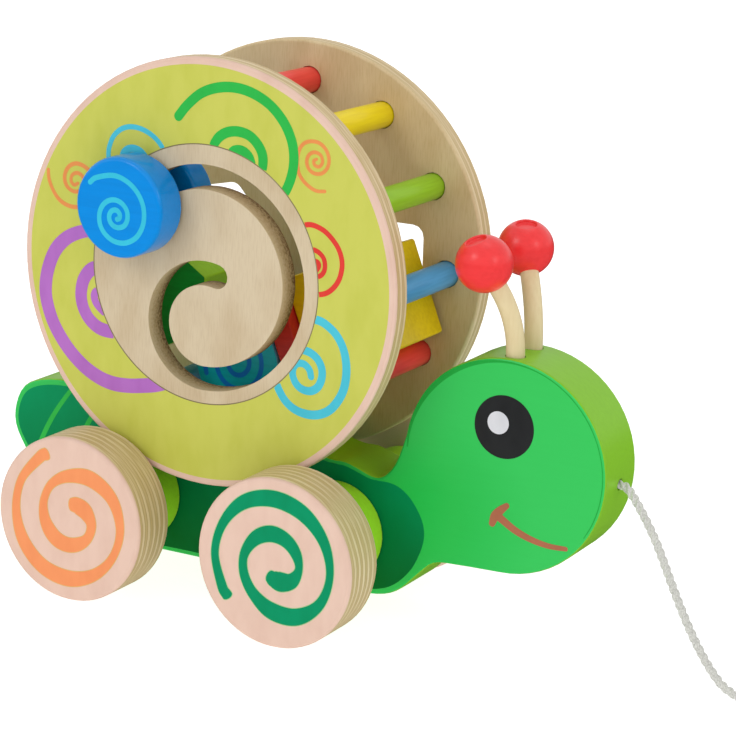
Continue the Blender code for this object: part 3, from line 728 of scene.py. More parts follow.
# Green lacquer, with painted shade over the neck
HEAD_GREEN = LacquerWithPaintedNeckShade("green_lacquer_on_beech", "33C95B", "31C457")
LIME = SprayedLacquer("lime_lacquer_on_beech", "84C222", "81BE20", coat=0.15)
BOSS_LIME = SprayedLacquer("lime_lacquer_on_turned_beech", "AAEC30", "A4E52C")
KNOB_BLUE = SprayedLacquer(
    "blue_lacquer_on_beech", "008BE0", "0086DA", roughness=0.28, specular=0.1, coat=0.4, coat_roughness=0.07
)
BEAD_RED = SprayedLacquer(
    "red_lacquer_on_beech", "F43436", "EE2F31", strength=0.5, roughness=0.32, coat=0.6, coat_roughness=0.26
)
STEM_CREAM = SprayedLacquer("cream_lacquer_on_birch", "E4D2A6", "DFCB9D", patch=(1.3, 1.3, 14.0))
DOWEL_GRAIN = (1.0, 14.0, 1.0)
DOWEL_FINISHES = {
    "red": SprayedLacquer("red_lacquer_on_dowel", "F0463F", "E63D37", patch=DOWEL_GRAIN),
    "yellow": SprayedLacquer("yellow_lacquer_on_dowel", "F2D900", "EACF00", patch=DOWEL_GRAIN),
    "green": SprayedLacquer("green_lacquer_on_dowel", "94C61E", "8ABB19", patch=DOWEL_GRAIN),
    "blue": SprayedLacquer("blue_lacquer_on_dowel", "4FA2D6", "4696CA", patch=DOWEL_GRAIN),
}
TEAL = SprayedLacquer("teal_lacquer_on_block", "0CC2D2", "0AB6C6")
BLOCK_SIDE_BLUE = SprayedLacquer("sky_blue_lacquer_on_block", "6ABCE6", "62B2DC")
LEAF_GREEN = SprayedLacquer("leaf_green_lacquer_on_block", "0CA236", "0A9630")
BLOCK_RED = SprayedLacquer("red_lacquer_on_block", "D8342A", "CA2C23")
BLOCK_YELLOW = SprayedLacquer("yellow_lacquer_on_block", "F2D20A", "E8C600")
PINK_FACE = ScreenInk("pink_ground_ink", "E4C3B1", "DEBBA9")
YELLOW_INK = ScreenInk("yellow_screen_ink", "C9CB59", "C3C651")
EDGE_INK = ScreenInk("brown_line_ink", "7F7350", "8B7F5C")
GREEN_INK = ScreenInk("green_screen_ink", "28B948", "24B244")
CYAN_INK = ScreenInk("cyan_screen_ink", "48C3D8", "42BBD0")
ORANGE_INK = ScreenInk("orange_screen_ink", "E8924E", "E28A48")
RED_INK = ScreenInk("red_screen_ink", "E13A31", "D9352C")
PURPLE_INK = ScreenInk("purple_screen_ink", "B56EC3", "AD66BB")
WHEEL_ORANGE_INK = ScreenInk("wheel_orange_ink", "F3965E", "EE8F58")
WHEEL_ORANGE_HALO = ScreenInk("pale_orange_ink", "DDB870", "D8B068")
WHEEL_GREEN_INK = ScreenInk("wheel_green_ink", "009363", "008B5B", specular=0.08, coat=0.0)
WHEEL_GREEN_HALO = ScreenInk("pale_green_ink", "A8CC90", "A0C488")
KNOB_INK = ScreenInk("light_blue_ink", "30C1DC", "2BB9D4")
BLOCK_INK = ScreenInk("deep_blue_ink", "0A82E2", "0978D4")
# Body print, darker towards the foot partly as painted shade between the wheels
BODY_INK = InkWithFootShade("deep_green_ink", "00935C", "008A52", specular=0.08, coat=0.0)
VEIN_INK = ScreenInk("bright_green_ink", "2DC04A", "28B844")
# Painted shade along the head's rounded edge, laid as a darker green line
HEAD_EDGE_PAINTED_SHADE = ScreenInk("head_line_ink", "16A93C", "13A338")
EYE_INK = ScreenInk("black_eye_ink", "2A2B2D", "252628", roughness=0.35, coat=0.3)
GLINT_INK = ScreenInk("white_glint_ink", "D9DAE0", "D2D3D9")
MOUTH_INK = ScreenInk("brown_mouth_ink", "B06A4C", "A86346")
CORD_YARN = TwistedNylon("white_twisted_nylon")
TIE_TAPE = WovenTape("red_woven_tape")
TABLE = LightTable("opal_acrylic_light_table")


# Printed strokes and films

# How far inks stand proud of the wood in millimetres. Inks that overlap lie at different heights
RIM_LIFT, GROUND_LIFT, FIGURE_LIFT, VEIN_LIFT, TOP_LIFT = 0.03, 0.04, 0.06, 0.08, 0.1
# Each stroke of a print lies this much above the one before, and each swirl this much below it
STROKE_STEP, SWIRL_STEP = 0.01, 0.003
# How deep a print reaches into the wood, so that no gap shows under its edge
INK_SINK = 0.05
# Points on a stroke's rounded end, which stops short of the step that would bring it to a tip
END_STEPS, END_TIP = 6, 6.3
# Halvings that find where a stroke's edge crosses a circle
HALVINGS = 24


@dataclass(frozen=True)
class PrintPlane:
    """A flat printed face: its origin (x, z) and its height y in millimetres, facing along Y."""

    x: float
    z: float
    y: float
    facing: int

    def point(self, x: float, z: float, lift: float) -> Vector:
        """The place in metres of a point on the face, lifted off it by so many millimetres."""
        return Vector((self.x + x, self.y + self.facing * lift, self.z + z)) * MM


@dataclass(frozen=True)
class Stroke:
    """A printed brush stroke: points (x, z, width) of its middle line, in millimetres."""

    points: tuple[Spot, ...]
    blunt: float = 0.5

    @classmethod
    def spiral(
        cls, stations: Iterable[Spot], centre: tuple[float, float] = (0, 0), blunt: float = 0.5
    ) -> "Stroke":
        """A stroke from stations round a centre.

        Args:
            stations: (angle in degrees, inner radius, outer radius).
            centre: Middle of the spiral.
            blunt: How far the rounded ends reach, as a share of the width.

        Returns:
            The stroke.
        """
        points = []
        for angle, inner, outer in stations:
            turn, middle = math.radians(angle), (inner + outer) / 2
            x, z = centre[0] + middle * math.cos(turn), centre[1] + middle * math.sin(turn)
            points.append((x, z, outer - inner))
        return cls(tuple(points), blunt)

    def sections(self, steps: int = 10) -> list[tuple[Vector, Vector]]:
        """Pairs of edge points along the stroke.

        Args:
            steps: Pieces between two points of the middle line.

        Returns:
            Left and right edge points (x, z), with both ends rounded.
        """
        spots = [(p.xy, p.z / 2) for p in through(self.points, steps)]
        first = (spots[0][0] - spots[1][0]).normalized()
        last = (spots[-1][0] - spots[-2][0]).normalized()
        head, tail = [], []
        for i in range(1, END_STEPS + 1):
            angle = math.pi / 2 * i / END_TIP
            for ends, heading, (spot, half) in ((head, first, spots[0]), (tail, last, spots[-1])):
                ends.append((spot + heading * 2 * half * self.blunt * math.sin(angle), half * math.cos(angle)))
        spots = head[::-1] + spots + tail
        pairs = []
        for i, (spot, half) in enumerate(spots):
            ahead = spots[min(i + 1, len(spots) - 1)][0] - spots[max(i - 1, 0)][0]
            side = Vector((-ahead.y, ahead.x)).normalized() * half
            pairs.append((spot + side, spot - side))
        return pairs


def outside_circle(pairs: Sequence[tuple[Vector, Vector]], radius: float) -> list[list[tuple[Vector, Vector]]]:
    """Cuts a stroke off where it runs inside a circle about the origin.

    Args:
        pairs: Edge points along the stroke.
        radius: Radius of the circle.

    Returns:
        The runs that are left, each with its edges cut along the circle.
    """
    runs: list[list[tuple[Vector, Vector]]] = [[]]
    for left, right in pairs:
        if left.length <= radius and right.length <= radius:
            if runs[-1]:
                runs.append([])
            continue
        if left.length < radius or right.length < radius:
            near, far = (left, right) if left.length < radius else (right, left)
            low, high = 0.0, 1.0
            for _ in range(HALVINGS):
                middle = (low + high) / 2
                low, high = (middle, high) if near.lerp(far, middle).length < radius else (low, middle)
            edge = near.lerp(far, high)
            left, right = (edge, right) if near is left else (left, edge)
        runs[-1].append((left, right))
    return [run for run in runs if len(run) > 1]


@dataclass
class Bench:
    """The loaded frame, and the ways in which pieces are made on it.

    Points nearer than weld (in metres) join, faces that meet at less than flat become one, and
    edges steeper than corner are eased (both in degrees).
    """

    frame: Mapping[str, Any]
    made: int = 0
    weld: float = 1e-6
    flat: float = 0.4
    corner: float = 50

    def settle(self, obj: Object, body: str, what: str) -> Object:
        """Puts a piece on its body and reports it.

        Args:
            obj: The piece.
            body: Name of the body that carries it.
            what: What the log says about it.

        Returns:
            The same piece.
        """
        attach(obj, body)
        self.made += 1
        LOG.info("%s on %s: %s", obj.name, body, what)
        return obj

    def stand_in(self, obj: Object, *nodes: str) -> Object:
        """Lets a piece stand for CAD nodes: hides them and puts the piece on their body.

        Args:
            obj: The piece.
            nodes: Names of the CAD nodes.

        Returns:
            The same piece.
        """
        cad = self.frame["nodes"][nodes[0]]
        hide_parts(*nodes)
        return self.settle(obj, body_of(cad)[0], "stands for " + ", ".join(nodes))

    def centre(self, node: str) -> Vector:
        """Middle of a CAD node's box, in millimetres."""
        low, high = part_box(node)
        return (Vector(low) + Vector(high)) / 2 / MM

    def half(self, node: str) -> Vector:
        """Half the size of a CAD node's box, in millimetres."""
        low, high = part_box(node)
        return (Vector(high) - Vector(low)) / 2 / MM

    def face(self, node: str, side: Side) -> PrintPlane:
        """The flat face of a CAD node that looks to one side, with its origin in the middle."""
        centre, half = self.centre(node), self.half(node)
        return PrintPlane(centre.x, centre.z, centre.y + side.value * half.y, side.value)

    def finished(
        self, node: str, finishes: Sequence[Finish], pick: FacePick | None = None, rounding: float = 0.0
    ) -> None:
        """Makes the finished form of a CAD node: its solid with eased edges and its finishes.

        Args:
            node: Name of the CAD node.
            finishes: Finishes that its faces may have.
            pick: Gives a face's finish from its normal and its middle. None takes the first.
            rounding: Radius of the eased edges in millimetres.
        """
        bm = bmesh.new()
        bm.from_mesh(self.frame["nodes"][node].data)
        bmesh.ops.remove_doubles(bm, verts=bm.verts, dist=self.weld)
        bmesh.ops.dissolve_limit(bm, angle_limit=math.radians(self.flat), verts=bm.verts, edges=bm.edges)
        if rounding:
            sharp = [e for e in bm.edges if e.is_manifold and e.calc_face_angle() > math.radians(self.corner)]
            bmesh.ops.bevel(
                bm, geom=sharp, offset=rounding * MM, offset_type="OFFSET", segments=3, profile=0.5,
                affect="EDGES", clamp_overlap=True,
            )
        bm.normal_update()
        for face in bm.faces:
            face.material_index = pick(face.normal, face.calc_center_median() / MM) if pick else 0
        obj = new_object(f"{node}_finished", bm, [finish.material() for finish in finishes])
        even = obj.modifiers.new("even_normals", "WEIGHTED_NORMAL")
        even.keep_sharp = True
        self.stand_in(obj, node)

    def film(
        self, name: str, body: Body, plane: PrintPlane, loops: Sequence[Loop], finish: Finish, lift: float
    ) -> None:
        """Lays a thin printed area on a face.

        Args:
            name: Name of the piece.
            body: Body that carries it.
            plane: The printed face.
            loops: The area's edge, and for a ring also its inner edge with as many points.
            finish: The ink.
            lift: How far the ink stands proud, in millimetres.
        """
        bm = bmesh.new()
        levels = (lift, -INK_SINK)
        rings = [[[bm.verts.new(plane.point(x, z, h)) for x, z in loop] for loop in loops] for h in levels]
        for walls in zip(*rings):
            skin(bm, walls)
        for level in rings:
            skin(bm, level)
            if len(level) == 1:
                bm.faces.new(level[0])
        bmesh.ops.triangulate(bm, faces=[f for f in bm.faces if len(f.verts) > 4])
        self.settle(new_object(name, bm, [finish.material()]), body.value, f"print in {finish.name}")

    def strokes(
        self, name: str, body: Body, plane: PrintPlane, strokes: Sequence[Stroke], finish: Finish, lift: float,
        clear_radius: float = 0.0,
    ) -> None:
        """Lays printed strokes on a face, as one piece.

        Args:
            name: Name of the piece.
            body: Body that carries it.
            plane: The printed face.
            strokes: The strokes.
            finish: The ink.
            lift: How far the ink stands proud, in millimetres.
            clear_radius: Strokes are cut off inside this circle about the face's origin.
        """
        bm = bmesh.new()
        for i, stroke in enumerate(strokes):
            height = lift + STROKE_STEP * i
            for run in outside_circle(stroke.sections(), clear_radius):
                rings = []
                for left, right in run:
                    spots = ((left, height), (right, height), (right, -INK_SINK), (left, -INK_SINK))
                    rings.append([bm.verts.new(plane.point(p.x, p.y, h)) for p, h in spots])
                skin(bm, rings, capped=True)
        self.settle(new_object(name, bm, [finish.material()]), body.value, f"print in {finish.name}")


# Sub-assemblies


@dataclass
class Studio:
    """Camera, light table and soft light. The table and the lamps are in metres, the lamps' power in watts."""

    camera_place: Spot = (394.6, -693.12, 286.0)
    camera_azimuth: float = 28.29
    camera_elevation: float = 14.62
    camera_roll: float = 1.9
    lens: float = 121.58
    sensor: float = 36.0
    floor_radius: float = 6.0
    floor_points: int = 96
    sky: float = 0.81
    horizon: Stops = ((0.49, "404040"), (0.56, "FFFFFF"))
    lamp_target: Spot = (0.0, 0.0, 0.08)
    lamps: tuple[tuple[str, Spot, float, float], ...] = (
        ("key_softbox", (-0.75, -1.9, 1.45), 0.8, 6.5),
        ("side_softbox", (1.9, -0.6, 1.0), 0.6, 2.8),
        ("top_softbox", (0.1, 0.2, 2.1), 1.2, 3.2),
    )

    def build(self) -> None:
        """Makes the camera, the floor and the lights."""
        scene = bpy.context.scene
        scene.view_settings.view_transform = "Standard"
        self.aim_camera(scene)
        self.lay_floor()
        self.light(scene)
        LOG.info("studio: camera, floor and %d lamps", len(self.lamps))

    def aim_camera(self, scene: Scene) -> None:
        """Places the camera as it stood for the photograph.

        Args:
            scene: The scene.
        """
        data = bpy.data.cameras.new("camera")
        data.sensor_fit = "HORIZONTAL"
        data.sensor_width = self.sensor
        data.lens = self.lens
        camera = bpy.data.objects.new("camera", data)
        turns = ((self.camera_azimuth, "Z"), (90 - self.camera_elevation, "X"), (self.camera_roll, "Z"))
        camera.matrix_world = Matrix.Translation(Vector(self.camera_place) * MM)
        for angle, axis in turns:
            camera.matrix_world = camera.matrix_world @ Matrix.Rotation(math.radians(angle), 4, axis)
        scene.collection.objects.link(camera)
        scene.camera = camera

    def lay_floor(self) -> None:
        """Lays a round light table under the toy."""
        bm = bmesh.new()
        bmesh.ops.create_circle(bm, cap_ends=True, segments=self.floor_points, radius=self.floor_radius)
        floor = new_object("studio_floor", bm, [TABLE.material()])
        # Kept out of reflections, as black card on the table keeps a lacquered colour deep
        floor.visible_glossy = False

    def light(self, scene: Scene) -> None:
        """Sets an even white sky and the softboxes.

        Args:
            scene: The scene.
        """
        world = bpy.data.worlds.new("studio_sky")
        world.use_nodes = True
        tree = world.node_tree
        aim = add_node(tree, "TexCoord").outputs["Generated"]
        height = add_node(tree, "SeparateXYZ", (aim,)).outputs[2]
        # From -1 straight down and 1 straight up to the ramp's 0 and 1
        share = add_node(tree, "Math", (height, 0.5, 0.5), operation="MULTIPLY_ADD")
        shade = add_node(tree, "ValToRGB", (share,), self.horizon)
        sky = tree.nodes["Background"]
        tree.links.new(shade.outputs[0], sky.inputs[0])
        sky.inputs[1].default_value = self.sky
        scene.world = world
        target = Vector(self.lamp_target)
        for name, place, size, power in self.lamps:
            lamp = bpy.data.lights.new(name, "AREA")
            lamp.size = size
            lamp.energy = power
            obj = bpy.data.objects.new(name, lamp)
            obj.location = place
            obj.rotation_euler = (target - Vector(place)).to_track_quat("-Z", "Y").to_euler()
            scene.collection.objects.link(obj)


@dataclass
class PullCord:
    """Three-strand nylon cord from the head to its tied coil, and the knot on its end."""

    bench: Bench
    axis_x: float
    radius: float = 1.5
    lay: float = 8.0
    groove: float = 0.62
    section_points: int = 24
    route_steps: int = 2
    path_steps: int = 9
    seat_gap: float = 0.3
    coil_mid: float = 16.5
    coil_turns: float = 2.5
    coil_pitch: float = 3.55
    coil_dip: float = 1.1
    per_turn: int = 24
    knot_length: float = 4.6
    knot_size: float = 0.72
    knot_depth: float = 1.9
    knot_points: int = 96
    knot_lays: int = 3
    knot_pull: float = 0.86
    tie_width: float = 5.0
    tie_thickness: float = 0.6
    tie_shoulder: tuple[float, float] = (0.75, 0.9)
    tie_corner_steps: int = 6
    lap_gap: float = 0.1
    lap_bend: tuple[float, float] = (0.3, 0.35)
    lap_rise: float = 0.75
    lap_start: float = 3.0
    lap_end: float = 0.45
    sharp: float = 80
    leaves: Spot = (133.6, 0.0, 56.9)
    route: tuple[Spot, ...] = (
        (122.0, 0.0, 57.8), (133.0, 0.0, 57.0), (138.4, -1.5, 54.9), (148.1, -4.5, 42.9), (156.0, -7.5, 30.0),
        (165.4, -10.5, 15.4), (176.2, -13.7, 4.2), (187.0, -17.0, 1.8), (194.0, -19.3, 2.45), (198.0, -20.6, 2.45),
    )

    def build(self) -> None:
        leaves, *route = [Vector((self.axis_x + x, y, z)) for x, y, z in (self.leaves, *self.route)]
        heading = (route[-1] - route[-2]).normalized()
        turns, centre = self.coil(route[-1] + heading * self.seat_gap, heading)
        path = [p * MM for p in through(route, self.route_steps) + turns[1:]]
        bm = sweep(through(path, self.path_steps), self.strands)
        cord = new_object("twisted_cord", bm, [CORD_YARN.material()], self.sharp)
        self.bench.stand_in(cord, "pull_cord", "cord_coil")
        knot = self.knot(turns)
        tie = self.tie(centre)

    def strands(self, length: float, share: float) -> list[tuple[float, float]]:
        """Outline of three strands that touch, turned by the lay.

        Args:
            length: Length of cord so far in metres.
            share: Share of the cord that lies behind, on which the lay doesn't depend.

        Returns:
            Points of the section in metres.
        """
        # Three equal circles that touch fill a circle of this many times their radius
        strand = self.radius / (1 + 2 / math.sqrt(3))
        off = self.radius - strand
        turn = math.tau * length / (self.lay * MM)
        points = []
        for i in range(self.section_points):
            angle = math.tau * i / self.section_points
            swing = (angle + math.pi / 3) % (math.tau / 3) - math.pi / 3
            reach = off * math.cos(swing) + math.sqrt(max(0.0, strand**2 - (off * math.sin(swing)) ** 2))
            reach = max(reach, self.groove * self.radius) * MM
            points.append((reach * math.cos(angle + turn), reach * math.sin(angle + turn)))
        return points

    def coil(self, start: Vector, heading: Vector) -> tuple[list[Vector], Vector]:
        """Two layers of turns that wind in, climb and wind out again.

        Args:
            start: Where the coil begins, in millimetres.
            heading: Direction of the cord there.

        Returns:
            The points of the turns and the coil's middle.
        """
        outer = self.coil_mid + self.coil_pitch * self.coil_turns / 2
        inner = self.coil_mid - self.coil_pitch * self.coil_turns / 2
        flat = Vector((heading.x, heading.y, 0)).normalized()
        left = Vector((-flat.y, flat.x, 0))
        centre = start + flat * 2 * self.radius + left * outer
        layer = round(self.per_turn * self.coil_turns)
        climb = self.per_turn // 2
        points = [start]
        for i in range(2 * layer + climb + 1):
            share = min(max((i - layer) / climb, 0.0), 1.0)
            rise = self.coil_pitch * (1 - math.cos(math.pi * share)) / 2
            wound = min(i, layer) - max(i - layer - climb, 0)
            radius = outer - self.coil_pitch * wound / self.per_turn - self.coil_dip * math.sin(math.pi * share)
            turn = math.tau * i / self.per_turn
            points.append(centre + (flat * math.sin(turn) - left * math.cos(turn)) * radius + Vector((0, 0, rise)))
        last = (points[-1] - points[-2]).normalized()
        return points + [points[-1] + last * 2 * self.radius], centre

    def knot(self, turns: Sequence[Vector]) -> Object:
        """Ties an overhand knot on the cord's end.

        Args:
            turns: Points of the coil, whose last ones lead into the knot.

        Returns:
            The knot.
        """
        axis = (turns[-1] - turns[-2]).normalized()
        middle = turns[-1] + axis * (self.knot_length + self.seat_gap)
        across = Vector((-axis.y, axis.x, 0)).normalized()
        up = axis.cross(across)
        path = []
        for i in range(self.knot_points):
            t = math.tau * i / self.knot_points
            x = (math.sin(t) + 2 * math.sin(2 * t)) * self.knot_size
            z = (math.cos(t) - 2 * math.cos(2 * t)) * self.knot_size
            y = -math.sin(3 * t) * self.knot_depth
            path.append((middle + across * x + up * z + axis * y) * MM)
        bm = sweep(path, self.thin_strands, closed=True)
        obj = new_object("overhand_knot", bm, [CORD_YARN.material()], self.sharp)
        return self.bench.stand_in(obj, "cord_end_knot")

    def thin_strands(self, length: float, share: float) -> list[tuple[float, float]]:
        """The cord's section drawn tight in the knot, with whole lays on the way round."""
        pulled = self.strands(share * self.knot_lays * self.lay * MM, share)
        return [(self.knot_pull * a, self.knot_pull * b) for a, b in pulled]

    def tie(self, centre: Vector) -> Object:
        """Wraps a woven tape round the coil's two layers, with its end lapped on top.

        Args:
            centre: The coil's middle in millimetres.

        Returns:
            The tie.
        """
        half = self.coil_pitch * self.coil_turns / 2 + self.radius + self.seat_gap
        low = -self.radius - self.seat_gap
        high = self.coil_pitch + self.radius + self.seat_gap
        corner = self.radius
        path = []
        for turn, x, z in ((0, 1, 1), (90, -1, 1), (180, -1, -1), (270, 1, -1)):
            for i in range(self.tie_corner_steps + 1):
                a = math.radians(turn + 90 * i / self.tie_corner_steps)
                flat_x = x * (half - corner) + corner * math.cos(a)
                flat_z = (high - corner if z > 0 else low + corner) + corner * math.sin(a)
                path.append((flat_x, flat_z))
        bend_in, bend_up = self.lap_bend
        top = high + self.lap_rise
        path += [(half + self.lap_gap, 0.0), (half + self.lap_gap, high - corner)]
        path += [(half - corner * bend_in, high + bend_up), (half - self.lap_start, top), (-half * self.lap_end, top)]
        width = self.tie_width / 2
        rise, eased = self.tie_shoulder[0], width * self.tie_shoulder[1]
        spots = [(0.0, -width), (0.0, width), (rise, width), (1.0, eased), (1.0, -eased), (rise, -width)]
        bm = bmesh.new()
        rings = []
        for i, (x, z) in enumerate(path):
            after = Vector(path[min(i + 1, len(path) - 1)])
            before = Vector(path[max(i - 1, 0)])
            ahead = (after - before).normalized()
            out = Vector((ahead.y, -ahead.x)) * self.tie_thickness
            ring = [Vector((self.coil_mid + x + out.x * s, y, z + out.y * s)) for s, y in spots]
            rings.append([bm.verts.new((centre + p) * MM) for p in ring])
        skin(bm, rings, capped=True)
        obj = new_object("woven_tie", bm, [TIE_TAPE.material()])
        return self.bench.stand_in(obj, "coil_tie")


@dataclass
class SnailBody:
    """The painted slab: bright green faces, lime edges, a printed body, tail veins, a face and painted shade."""

    bench: Bench
    axis_x: float
    half_thickness: float = 12.0
    rounding: float = 0.6
    flat_share: float = 0.9
    print_steps: int = 6
    eye: Spot = (98.3, 72.6, 10.3)
    glint: Spot = (96.2, 73.7, 3.7)
    head: Spot = (98.5, 59.5, 34.1)
    # Painted shade on the head's rounded edge: the angles it spans, its least width and swell, and its peak
    shade_span: tuple[int, int, int] = (-32, 180, 6)
    shade_width: tuple[float, float] = (0.12, 0.8)
    shade_peak: tuple[float, float] = (132, 34)
    body_print: tuple[tuple[float, float], ...] = (
        (-11, 60.2), (-19, 57.8), (-30.7, 54.6), (-42, 54.0), (-56, 58.0), (-68, 59.5), (-78.5, 58.5),
        (-85.6, 55.3), (-88.9, 49.6), (-89.2, 42.8), (-85.2, 35.3), (-76.8, 23.6), (-65.2, 14.2),
        (-49.5, 9.4), (-20, 9.3), (20, 9.3), (47, 9.4), (56, 10.5), (62, 13.5), (67.1, 18.9), (70, 24.5),
        (71.6, 30), (71.4, 34.5), (69.6, 38.8), (66.3, 43.2), (62.6, 46), (58.5, 47.2), (51.6, 47.3),
        (47, 48.6), (41.6, 50.1), (35.6, 50.3), (26.5, 52.9), (17.5, 57.8), (11, 60.2),
    )
    veins: tuple[Stroke, ...] = (
        Stroke(((-65.5, 60, 1.6), (-68.2, 57, 1.6), (-72.4, 51.4, 1.7), (-76, 45.7, 1.8), (-79.2, 39.5, 1.8),
                (-82, 33, 1.6))),
        Stroke(((-55, 57.5, 1.6), (-58, 51, 1.7), (-61, 45.6, 1.8), (-65, 35, 1.8), (-68, 24, 1.7))),
        Stroke(((-47, 55, 1.6), (-50, 44, 1.7), (-53.5, 30, 1.8), (-55, 18, 1.6))),
    )
    mouth: tuple[Stroke, ...] = (
        Stroke(((95.7, 40.4, 2.2), (96.6, 43.0, 3.0), (98.4, 45.2, 2.7), (100.5, 47.1, 1.9))),
        Stroke(((97.3, 43.4, 3.0), (99.6, 42.0, 2.6), (104, 39.5, 2.4), (109.5, 37.6, 2.1), (115.5, 36.6, 1.8),
                (121.5, 36.7, 1.5))),
    )

    def build(self) -> None:
        """Makes the slab and prints both its faces."""
        self.bench.finished("body_slab", (LIME, HEAD_GREEN), along_y(self.flat_share), self.rounding)
        outline = [(p.x, p.y) for p in through([*self.body_print, self.body_print[0]], self.print_steps)][:-1]
        x, z, radius = self.head
        # The painted shade along the head's rounded edge, as a stroke
        line = Stroke.spiral([(a, radius - w, radius + w) for a, w in self.head_edge_shade()], (x, z))
        eye, glint = (circle(spot[2], spot[:2]) for spot in (self.eye, self.glint))
        for side in Side:
            plane = PrintPlane(self.axis_x, 0.0, side.value * self.half_thickness, side.value)
            tag = side.name.lower()
            self.bench.film(f"body_print_{tag}", Body.SNAIL, plane, [outline], BODY_INK, GROUND_LIFT)
            self.bench.strokes(f"tail_veins_{tag}", Body.SNAIL, plane, self.veins, VEIN_INK, VEIN_LIFT)
            self.bench.strokes(f"head_line_{tag}", Body.SNAIL, plane, [line], HEAD_EDGE_PAINTED_SHADE, GROUND_LIFT)
            self.bench.film(f"eye_{tag}", Body.SNAIL, plane, [eye], EYE_INK, FIGURE_LIFT)
            self.bench.film(f"glint_{tag}", Body.SNAIL, plane, [glint], GLINT_INK, TOP_LIFT)
            self.bench.strokes(f"smile_{tag}", Body.SNAIL, plane, self.mouth, MOUTH_INK, FIGURE_LIFT)

    def head_edge_shade(self) -> list[tuple[float, float]]:
        """Angles and half widths of the painted shade along the head's rounded edge, peaking at the upper left."""
        (least, swell), (peak, spread) = self.shade_width, self.shade_peak
        return [(a, least + swell * math.exp(-(((a - peak) / spread) ** 2))) for a in range(*self.shade_span)]


